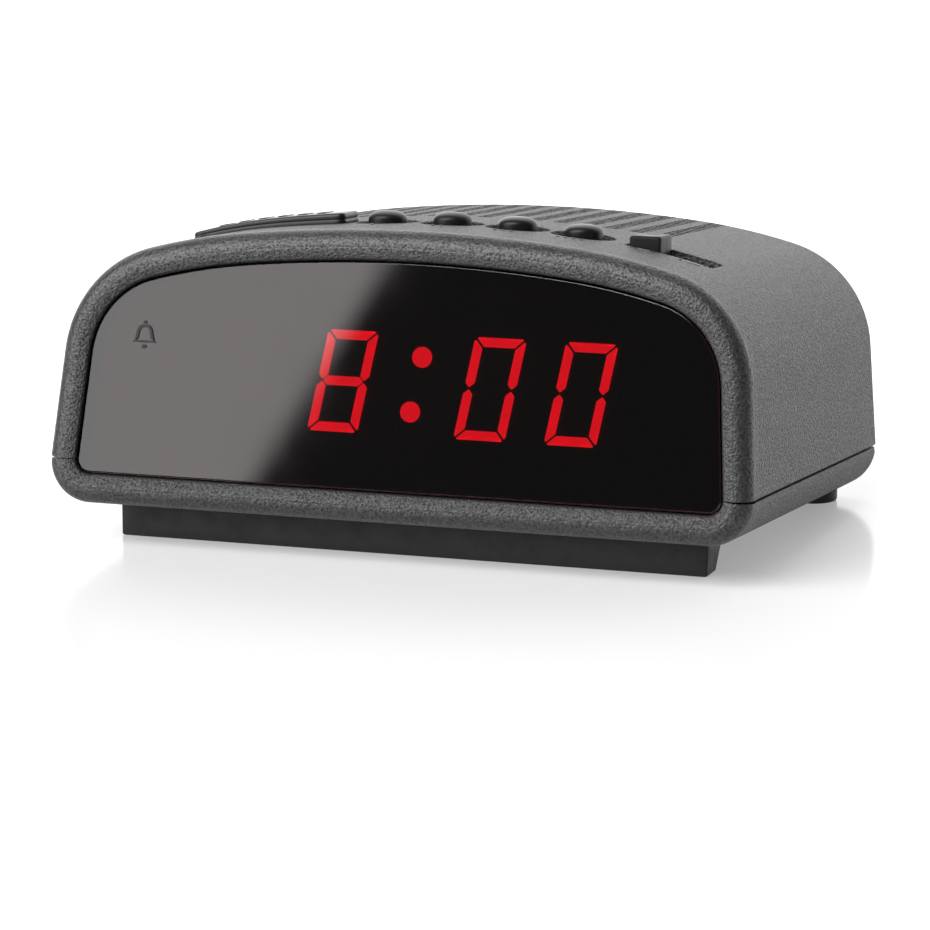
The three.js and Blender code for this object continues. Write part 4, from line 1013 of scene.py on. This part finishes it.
class Finish(Nodes):
    """A material with one Principled shader; colour is its base colour before any tint."""

    def __init__(self, name, colour, roughness=0.5, metallic=0.0, **sockets):
        self.material = bpy.data.materials.new(name)
        super().__init__(self.material)
        self.colour = colour
        self.shader = self.node("ShaderNodeBsdfPrincipled", {
            "Base Color": (*colour, 1), "Roughness": roughness, "Metallic": metallic,
            **{key.replace("_", " "): value for key, value in sockets.items()}})
        self.node("ShaderNodeOutputMaterial", {"Surface": self.shader.outputs["BSDF"]})
        self.coords = self.node("ShaderNodeTexCoord").outputs["Object"]

    def noise(self, scale, detail=3.0, roughness=0.5, stretch=(1, 1, 1)):
        place = self.node("ShaderNodeMapping", {"Scale": stretch, "Vector": self.coords})
        return self.node("ShaderNodeTexNoise", {
            "Scale": scale, "Detail": detail, "Roughness": roughness,
            "Vector": place.outputs["Vector"]}).outputs["Fac"]

    def tint(self, source, dark, light):
        """Colours the surface between two shades by a value from 0 to 1."""
        shades = [(*[c * shade for c in self.colour], 1) for shade in (dark, light)]
        self.mix(source, *shades)

    def mix(self, source, low, high):
        """Colours the surface between two colours by a value from 0 to 1."""
        ramp = self.node("ShaderNodeMix", {0: source, 6: low, 7: high}, data_type="RGBA")
        self.put(self.shader.inputs["Base Color"], ramp.outputs[2])

    def rough(self, source, low, high):
        self.put(self.shader.inputs["Roughness"], self.spread(source, low, high))

    def bump(self, height, distance):
        inputs = {"Distance": distance, "Strength": 1.0, "Height": height}
        normal = self.node("ShaderNodeBump", inputs).outputs["Normal"]
        self.put(self.shader.inputs["Normal"], normal)


def grained_plastic(settings):
    """Moulded charcoal plastic: a fine spark-eroded grain that fades where the attribute grain
    is low, with faint flow marks in its gloss. Where grain is low the colour is also darkened
    towards a fifth of itself, a painted shade on the bezel's inner edge and rounded band; the
    colour also follows the grain's height, a painted shade in its pits and a painted sheen on
    its peaks."""
    f = Finish("charcoal_grained_plastic", settings.plastic, settings.roughness)
    scale = 0.9 / settings.grain_size
    pits = f.node("ShaderNodeTexVoronoi", {"Scale": scale, "Vector": f.coords}, feature="F1")
    pits = f.maths("MULTIPLY", pits.outputs["Distance"], 0.5)
    height = f.maths("ADD", f.noise(scale, 2.5, 0.6), pits)
    grain = f.node("ShaderNodeAttribute", attribute_name="grain").outputs["Fac"]
    f.bump(f.maths("MULTIPLY", height, grain), settings.grain_depth)
    # Painted shade and sheen: the colour is darker in the grain's pits and lighter on its peaks.
    f.tint(f.spread(height, 0.0, 1.0, 0.38, 0.85), 0.6, 1.55)
    # Painted shade: where grain is low (the bezel's inner edge and rounded band) the colour is
    # darkened to a fifth.
    painted_shade = (*[c * 0.2 for c in settings.plastic], 1)
    f.mix(grain, painted_shade, f.shader.inputs["Base Color"].links[0].from_socket)
    f.put(f.shader.inputs["Specular IOR Level"], f.spread(height, 0.1, 0.7, 0.4, 0.9))
    rough = f.maths("ADD", f.maths("MULTIPLY", grain, 0.16), settings.roughness - 0.16)
    patches = f.maths("MULTIPLY", f.noise(900, 2.0), 0.06)
    f.put(f.shader.inputs["Roughness"], f.maths("ADD", rough, patches))
    return f.material


def window_plastic(settings):
    """Smoked acrylic: clear enough for lit bars to show, black over unlit ones."""
    f = Finish("smoked_window", settings.window, 0.03, IOR=1.49, Transmission_Weight=1.0)
    f.rough(f.noise(70, 2.0), 0.02, 0.04)
    return f.material


def lit_red(settings):
    """Lit diffuser: a red glow that is a little uneven along each bar."""
    f = Finish("lit_red_bars", settings.led, Emission_Strength=settings.led_strength)
    f.tint(f.spread(f.noise(420, 2.0), 0.0, 1.0), 0.9, 1.0)
    ramp = f.shader.inputs["Base Color"].links[0].from_socket
    f.put(f.shader.inputs["Emission Color"], ramp)
    return f.material


def speckled(name, colour, height, depth, marks, shades, patches, rough, metallic=0.0, **sockets):
    """A plain surface from three noises: its height, its colour and its roughness, which is
    given as its plain value and the two ends of its spread."""
    f = Finish(name, colour, rough[0], metallic, **sockets)
    f.bump(f.noise(*height), depth)
    f.tint(f.spread(f.noise(*marks), 0.0, 1.0), *shades)
    f.rough(f.noise(*patches), *rough[1:])
    return f.material


def moulded(name, colour, roughness, scale=700.0, depth=0.00001, **sockets):
    """Plain moulded plastic or rubber: a fine noise in its height, roughness and colour."""
    rough = (roughness, roughness * 0.85, min(1.0, roughness * 1.2))
    return speckled(name, colour, (scale * 2, 2.0), depth, (scale, 3.0), (0.85, 1.15),
                    (scale * 0.4, 2.0), rough, **sockets)


def metal(name, colour, roughness, stretch=(1, 1, 1)):
    """Plated or rolled metal: fine marks drawn out along one axis."""
    rough = (roughness, roughness * 0.8, roughness * 1.3)
    return speckled(name, colour, (1500, 2.0, 0.6, stretch), 0.000006, (160, 3.0), (0.85, 1.08),
                    (500, 2.0, 0.5, stretch), rough, 1.0)


def board_laminate():
    """Paper laminate: brown, with speckles and a faint weave."""
    return speckled("board_laminate", (0.22, 0.11, 0.035), (1600, 2.0, 0.5, (1, 3, 1)), 0.00001,
                    (900, 4.0), (0.8, 1.15), (300, 2.0), (0.6, 0.5, 0.68))


def speaker_paper():
    """Pressed paper: soft fibres."""
    return speckled("speaker_paper", (0.035, 0.03, 0.026), (1800, 4.0, 0.6), 0.00004,
                    (1200, 4.0, 0.6), (0.6, 1.5), (300,), (0.9, 0.82, 0.97))


def banded(name, colour, axis, scale, shades, depth, patches, rough, metallic=0.0, profile="SIN",
           wander=0.0):
    """A surface of fine bands across one axis, in its colour and its height."""
    f = Finish(name, colour, rough[0], metallic)
    wave = f.node("ShaderNodeTexWave", {"Scale": scale, "Distortion": wander, "Vector": f.coords},
                  wave_type="BANDS", bands_direction=axis, wave_profile=profile).outputs["Fac"]
    f.tint(wave, *shades)
    f.bump(wave, depth)
    f.rough(f.noise(patches), *rough[1:])
    return f.material


def laminations():
    """Stacked steel sheets: fine dark lines across the stack, with scale between them."""
    return banded("lamination_steel", (0.16, 0.16, 0.17), "Y", 320, (0.6, 1.1), 0.00003, 400,
                  (0.5, 0.42, 0.6), 1.0, wander=0.4)


def winding_tape():
    """Yellow tape wound round a coil: overlapping turns with soft edges."""
    return banded("winding_tape", (0.55, 0.32, 0.06), "Z", 48, (0.85, 1.05), 0.00004, 300,
                  (0.45, 0.38, 0.52), profile="SAW")


def ribbon():
    """Flat cable: parallel cores that run along it."""
    return banded("ribbon_insulation", (0.32, 0.32, 0.33), "X", 125, (0.75, 1.1), 0.0001, 500,
                  (0.45, 0.4, 0.5))


# ---- Settings ----


def shade(name, description, *default):
    """A colour's property."""
    return FloatVectorProperty(name=name, description=description, subtype="COLOR", size=3,
                               min=0, max=1, default=default)


def share(name, description, default, low=0):
    """A property from low to 1."""
    return FloatProperty(name=name, description=description, default=default, min=low, max=1,
                         subtype="FACTOR")


def radiance(name, description, default):
    """A light's property."""
    return FloatProperty(name=name, description=description, default=default, min=0)


class ClockCaseSettings(bpy.types.PropertyGroup):
    """Finish of the housings and the window."""

    plastic: shade("Case colour", "Colour of the grained plastic", 0.035, 0.035, 0.0355)
    roughness: share("Case roughness", "Roughness of the grained plastic", 0.5, 0.1)
    grain_size: FloatProperty(name="Grain size", description="Width of one grain of the surface",
                              default=0.00036, min=0.0001, max=0.002, unit="LENGTH", precision=5)
    grain_depth: FloatProperty(name="Grain depth", description="Height of the grain",
                               default=0.0005, min=0, max=0.001, unit="LENGTH", precision=6)
    window: shade("Window tint", "Colour that passes through the window", 0.08, 0.012, 0.013)


class ClockDisplaySettings(bpy.types.PropertyGroup):
    """Light of the display."""

    led: shade("Display colour", "Colour of the lit bars", 1.0, 0.024, 0.085)
    led_strength: radiance("Display strength", "Strength of the lit bars behind the window", 8.6)


class ClockControlSettings(bpy.types.PropertyGroup):
    """Finish of the bar, buttons and feet."""

    gloss: shade("Control colour", "Colour of the buttons and the bar", 0.008, 0.008, 0.009)
    button_roughness: share("Button roughness", "Roughness of the buttons", 0.33)
    bar_roughness: share("Bar roughness", "Roughness of the snooze bar", 0.28)
    foot: shade("Foot colour", "Colour of the feet", 0.016, 0.016, 0.017)


class ClockStageSettings(bpy.types.PropertyGroup):
    """Floor, lights and camera."""

    floor: share("Floor shade", "Lightness of the floor", 0.5)
    card: radiance("Front card", "Radiance of the card at the front left", 4.0)
    overhead: radiance("Overhead lamp", "Radiance of the lamp over the floor", 0.05)
    soft_box: radiance("Soft box", "Radiance of the soft box high at the front left", 6.8)
    behind: radiance("Backdrop", "Radiance of the backdrop behind the clock", 2.15)
    glow: radiance("Table glow", "Radiance that the light table gives off", 0.3)
    lens: FloatProperty(name="Focal length", description="Focal length of the camera",
                        default=163.07, min=10, unit="CAMERA")


# ---- Operators ----


class CLOCK_OT_upper_housing(bpy.types.Operator):
    """Build the upper housing with its bezel, dishes, slot and grille"""

    bl_idname = "clock.upper_housing"
    bl_label = "Upper Housing"

    def execute(self, context):
        points, faces, grain = upper_housing_mesh()
        make_piece("upper_housing_shell", points, faces, "case", "charcoal_case_plastic",
                   grained_plastic(context.scene.clock_case), ["upper_housing"], values=grain)
        return {"FINISHED"}


class CLOCK_OT_lower_housing(bpy.types.Operator):
    """Build the lower housing with its screw wells"""

    bl_idname = "clock.lower_housing"
    bl_label = "Lower Housing"

    def execute(self, context):
        points, faces, grain = lower_housing_mesh()
        material = bpy.data.materials.get("charcoal_grained_plastic")
        make_piece("lower_housing_shell", points, faces, "case", "charcoal_case_plastic",
                   material or grained_plastic(context.scene.clock_case), ["lower_housing"],
                   values=grain)
        return {"FINISHED"}


class CLOCK_OT_window(bpy.types.Operator):
    """Build the smoked window, the print behind it and the small bell on it"""

    bl_idname = "clock.window"
    bl_label = "Window"

    def execute(self, context):
        clear = window_plastic(context.scene.clock_case)
        ink = moulded("mask_ink", (0.004, 0.004, 0.004), 0.6)
        bell = moulded("window_mark", (0.012, 0.012, 0.013), 0.45, Specular_IOR_Level=0.3)
        make_piece("window_plate", *window_mesh(), "case", "smoked_window", clear,
                   ["display_window"], sharp=8)
        make_piece("window_mask", *mask_mesh(), "case", "smoked_window", ink)
        make_piece("window_bell", *bell_mesh(), "case", "smoked_window", bell)
        return {"FINISHED"}


class CLOCK_OT_display(bpy.types.Operator):
    """Build the lit bars and dots of the display"""

    bl_idname = "clock.display"
    bl_label = "Display"

    def execute(self, context):
        material = lit_red(context.scene.clock_display)
        make_piece("lit_bars", *display_mesh(), "case", "red_diffuser", material)
        return {"FINISHED"}


class CLOCK_OT_feet(bpy.types.Operator):
    """Build the long front foot and the two round rear feet"""

    bl_idname = "clock.feet"
    bl_label = "Feet"

    def execute(self, context):
        colour = context.scene.clock_controls.foot
        material = moulded("foot_plastic", colour, 0.5, 900.0, Specular_IOR_Level=0.25)
        make_piece("front_foot_bar", *front_foot_mesh(), "case", "foot_plastic", material,
                   ["front_foot"])
        for side, x in (("left", -REAR_FOOT[0]), ("right", REAR_FOOT[0])):
            make_piece(f"rear_foot_pad_{side}", *rear_foot_mesh(x), "case", "foot_plastic",
                       material, [f"rear_foot_{side}"])
        return {"FINISHED"}


class CLOCK_OT_snooze(bpy.types.Operator):
    """Build the snooze bar and its ribs"""

    bl_idname = "clock.snooze"
    bl_label = "Snooze Bar"

    def execute(self, context):
        settings = context.scene.clock_controls
        material = moulded("snooze_black_plastic", settings.gloss, settings.bar_roughness, 600.0,
                           0.000004, Specular_IOR_Level=0.3)
        make_piece("snooze_pad", *snooze_mesh(), "snooze_bar", "control_black_plastic", material,
                   ["snooze_bar"])
        make_piece("snooze_ribs", *rib_mesh(), "snooze_bar", "control_black_plastic", material)
        return {"FINISHED"}


class CLOCK_OT_buttons(bpy.types.Operator):
    """Build the four domed push buttons"""

    bl_idname = "clock.buttons"
    bl_label = "Push Buttons"

    def execute(self, context):
        settings = context.scene.clock_controls
        material = moulded("button_black_plastic", settings.gloss, settings.button_roughness,
                           500.0, 0.000002, Specular_IOR_Level=0.2)
        for name, x in BUTTON_X.items():
            make_piece(f"{name}_button_cap", *button_mesh(x), f"{name}_button",
                       "control_black_plastic", material, [f"{name}_button"])
        return {"FINISHED"}


class CLOCK_OT_slide_switch(bpy.types.Operator):
    """Build the slide switch's knob"""

    bl_idname = "clock.slide_switch"
    bl_label = "Slide Switch"

    def execute(self, context):
        material = moulded("knob_black_plastic", (0.011, 0.011, 0.012), 0.34, 900.0, 0.000006,
                           Specular_IOR_Level=0.08)
        make_piece("slide_knob", *knob_mesh(), "alarm_switch", "control_black_plastic", material,
                   ["switch_knob"])
        return {"FINISHED"}


class CLOCK_OT_marks(bpy.types.Operator):
    """Build the raised dots and bars that tell the controls apart by touch"""

    bl_idname = "clock.marks"
    bl_label = "Touch Marks"

    def execute(self, context):
        material = moulded("mark_plastic", (0.045, 0.045, 0.047), 0.4, 900.0)
        make_piece("touch_marks", *marks_mesh(), "case", "charcoal_case_plastic", material)
        return {"FINISHED"}


class CLOCK_OT_gland(bpy.types.Operator):
    """Build the rubber bush of the mains cord's outlet"""

    bl_idname = "clock.gland"
    bl_label = "Cord Gland"

    def execute(self, context):
        material = moulded("gland_rubber", (0.018, 0.018, 0.018), 0.6, 800.0, 0.00002)
        make_piece("cord_bush", *gland_mesh(), "case", "gland_rubber", material, ["cord_gland"])
        return {"FINISHED"}


class CLOCK_OT_inner_parts(bpy.types.Operator):
    """Give the boards, switches, loudspeaker, transformer and screws their finishes"""

    bl_idname = "clock.inner_parts"
    bl_label = "Inner Parts"

    def execute(self, context):
        component = moulded("component_black", (0.02, 0.02, 0.022), 0.45)
        white = moulded("white_plastic", (0.7, 0.7, 0.66), 0.45)
        steel = metal("plated_steel", (0.55, 0.55, 0.56), 0.32, (1, 1, 6))
        ferrite = moulded("magnet_ferrite", (0.045, 0.045, 0.048), 0.6, 1300.0, 0.00003)
        sleeve = moulded("capacitor_sleeve", (0.015, 0.02, 0.05), 0.3)
        film = moulded("red_diffuser", (0.03, 0.004, 0.004), 0.5)
        board = board_laminate()
        finishes = {
            "switch_lever": white, "switch_body": steel, "main_board": board,
            "display_board": board, "clock_chip": component, "rectifier_bridge": component,
            "smoothing_capacitor": sleeve, "display_film": film, "display_reflector": white,
            "ribbon_cable": ribbon(), "speaker_frame": steel, "speaker_cone": speaker_paper(),
            "speaker_magnet": ferrite, "transformer_core": laminations(),
            "transformer_winding": winding_tape(), "transformer_strap": steel,
        }
        for node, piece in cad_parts.items():
            if node.endswith("_tact_body"):
                finishes[node] = component
            elif node.endswith("_tact_stem"):
                finishes[node] = white
            elif "screw" in node:
                finishes[node] = steel
            if node in finishes:
                piece.data.materials.clear()
                piece.data.materials.append(finishes[node])
        return {"FINISHED"}


def axes_matrix(x, y, z, place):
    """A matrix whose columns are three axes and a place."""
    return Matrix(np.vstack([np.column_stack([x, y, z, place]), [0, 0, 0, 1]]).tolist())


def overhead_lamp(radiance):
    """A soft square lamp that faces the origin. Its power is radiance times area times pi, as a
    glowing surface of that radiance has; mirrors don't show it."""
    light = bpy.data.lights.new("overhead", "AREA")
    light.shape = "RECTANGLE"
    light.size = light.size_y = LAMP_SIDE
    light.energy = radiance * LAMP_SIDE * LAMP_SIDE * math.pi
    lamp = bpy.data.objects.new("overhead", light)
    lamp.visible_camera = lamp.visible_glossy = False
    bpy.context.scene.collection.objects.link(lamp)
    back = np.array(LAMP_PLACE) / np.linalg.norm(LAMP_PLACE)
    across = np.cross([0, 1.0, 0], back)
    across /= np.linalg.norm(across)
    lamp.matrix_world = axes_matrix(across, np.cross(back, across), back, LAMP_PLACE)


CAMERA_AXES = ((0.93940, 0.34276, -0.00665), (-0.06132, 0.18708, 0.98043),
               (0.33729, -0.92061, 0.19676))
CAMERA_PLACE = (0.220302, -0.605292, 0.137505)
FLOOR_HALF, FLOOR_Z = 6.0, -0.00002
LAMP_PLACE, LAMP_SIDE = (0.0, 0.2, 1.6), 3.2
CARD_EDGE = (-0.82125, 0.41136, 0.39538)  # normal of the plane through the card's straight edge


class CLOCK_OT_stage(bpy.types.Operator):
    """Build the floor, the lights, the world and the camera"""

    bl_idname = "clock.stage"
    bl_label = "Stage"

    def execute(self, context):
        scene, settings = context.scene, context.scene.clock_stage
        self.floor(settings)
        self.world(scene, settings)
        overhead_lamp(settings.overhead)
        camera = bpy.data.cameras.new("camera")
        camera.lens = settings.lens
        camera.sensor_width = 36
        camera.clip_start, camera.clip_end = 0.05, 50
        holder = bpy.data.objects.new("camera", camera)
        scene.collection.objects.link(holder)
        holder.matrix_world = axes_matrix(*CAMERA_AXES, CAMERA_PLACE)
        scene.camera = holder
        scene.view_settings.view_transform = "Standard"
        return {"FINISHED"}

    def floor(self, settings):
        """A light table: a wide plane under the feet, pale, a little glossy and faintly lit."""
        mesh = bpy.data.meshes.new("floor")
        corners = ((-1, -1), (1, -1), (1, 1), (-1, 1))
        points = [(x * FLOOR_HALF, y * FLOOR_HALF, FLOOR_Z) for x, y in corners]
        mesh.from_pydata(points, [], [(0, 1, 2, 3)])
        f = Finish("pale_floor", (settings.floor,) * 3, 0.14, Specular_IOR_Level=0.06,
                   Emission_Strength=settings.glow, Emission_Color=(1, 1, 1, 1))
        f.tint(f.spread(f.noise(6, 2.0), 0.0, 1.0), 0.995, 1.0)
        mesh.materials.append(f.material)
        floor = bpy.data.objects.new("floor", mesh)
        bpy.context.scene.collection.objects.link(floor)

    def world(self, scene, settings):
        """The room, by direction: pale behind (it grows with y), softer at the right (with x) and
        dark in front; a soft box high at the front left; and a card at the front left, whose
        straight edge is the plane in which the direction's dot product with CARD_EDGE is zero.
        The camera sees plain white."""
        world = bpy.data.worlds.new("studio")
        n = Nodes(world)
        way = n.node("ShaderNodeTexCoord").outputs["Generated"]
        x, y, z = n.node("ShaderNodeSeparateXYZ", {"Vector": way}).outputs
        edge = n.node("ShaderNodeVectorMath", {0: way, 1: CARD_EDGE}, operation="DOT_PRODUCT")

        def ramp(source, start, end, low, high):
            return n.spread(source, low, high, start, end, interpolation_type="SMOOTHSTEP")

        def product(first, *rest):
            for factor in rest:
                first = n.maths("MULTIPLY", first, factor)
            return first

        room = n.maths("MAXIMUM", ramp(y, 0.2, 0.65, 0.13, settings.behind),
                       ramp(x, 0.45, 0.95, 0.0, 0.08))
        card = product(ramp(edge.outputs["Value"], -0.001, 0.007, 0.0, settings.card),
                       ramp(z, 0.45, 0.6, 1.0, 0.0), ramp(y, -0.45, -0.25, 1.0, 0.0))
        soft_box = product(ramp(z, 0.4, 0.55, 0.0, settings.soft_box),
                           ramp(y, -0.45, -0.1, 1.0, 0.0), ramp(x, -0.15, 0.3, 1.0, 0.0))
        room = n.maths("ADD", n.maths("ADD", room, card), soft_box)
        white = (1, 1, 1, 1)
        lit = n.node("ShaderNodeBackground", {"Color": white, "Strength": room})
        plain = n.node("ShaderNodeBackground", {"Color": white})
        seen = n.node("ShaderNodeLightPath").outputs["Is Camera Ray"]
        mix = n.node("ShaderNodeMixShader", {"Fac": seen, 1: lit.outputs["Background"],
                                             2: plain.outputs["Background"]})
        n.node("ShaderNodeOutputWorld", {"Surface": mix.outputs["Shader"]})
        scene.world = world


BUILD_ORDER = (CLOCK_OT_upper_housing, CLOCK_OT_lower_housing, CLOCK_OT_window, CLOCK_OT_display,
               CLOCK_OT_feet, CLOCK_OT_snooze, CLOCK_OT_buttons, CLOCK_OT_slide_switch,
               CLOCK_OT_marks, CLOCK_OT_gland, CLOCK_OT_inner_parts, CLOCK_OT_stage)


class CLOCK_PT_panel(bpy.types.Panel):
    """Lists the settings and the pieces"""

    bl_label = "Bedside LED Clock"
    bl_idname = "CLOCK_PT_panel"
    bl_space_type = "VIEW_3D"
    bl_region_type = "UI"
    bl_category = "Clock"

    def draw(self, context):
        column = self.layout.column()
        for setting in SETTINGS:
            group = getattr(context.scene, setting)
            for name in group.bl_rna.properties.keys():
                if name not in {"rna_type", "name"}:
                    column.prop(group, name)
        for operator in BUILD_ORDER:
            column.operator(operator.bl_idname)


SETTINGS = {"clock_case": ClockCaseSettings, "clock_display": ClockDisplaySettings,
            "clock_controls": ClockControlSettings, "clock_stage": ClockStageSettings}
CLASSES = (*SETTINGS.values(), *BUILD_ORDER, CLOCK_PT_panel)


def register():
    for item in CLASSES:
        bpy.utils.register_class(item)
    for name, group in SETTINGS.items():
        setattr(bpy.types.Scene, name, PointerProperty(type=group))


def unregister():
    for name in SETTINGS:
        delattr(bpy.types.Scene, name)
    for item in reversed(CLASSES):
        bpy.utils.unregister_class(item)


def main():
    """Registers the add-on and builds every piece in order."""
    register()
    for operator in BUILD_ORDER:
        group, name = operator.bl_idname.split(".")
        getattr(getattr(bpy.ops, group), name)()


if __name__ == "__main__":
    main()
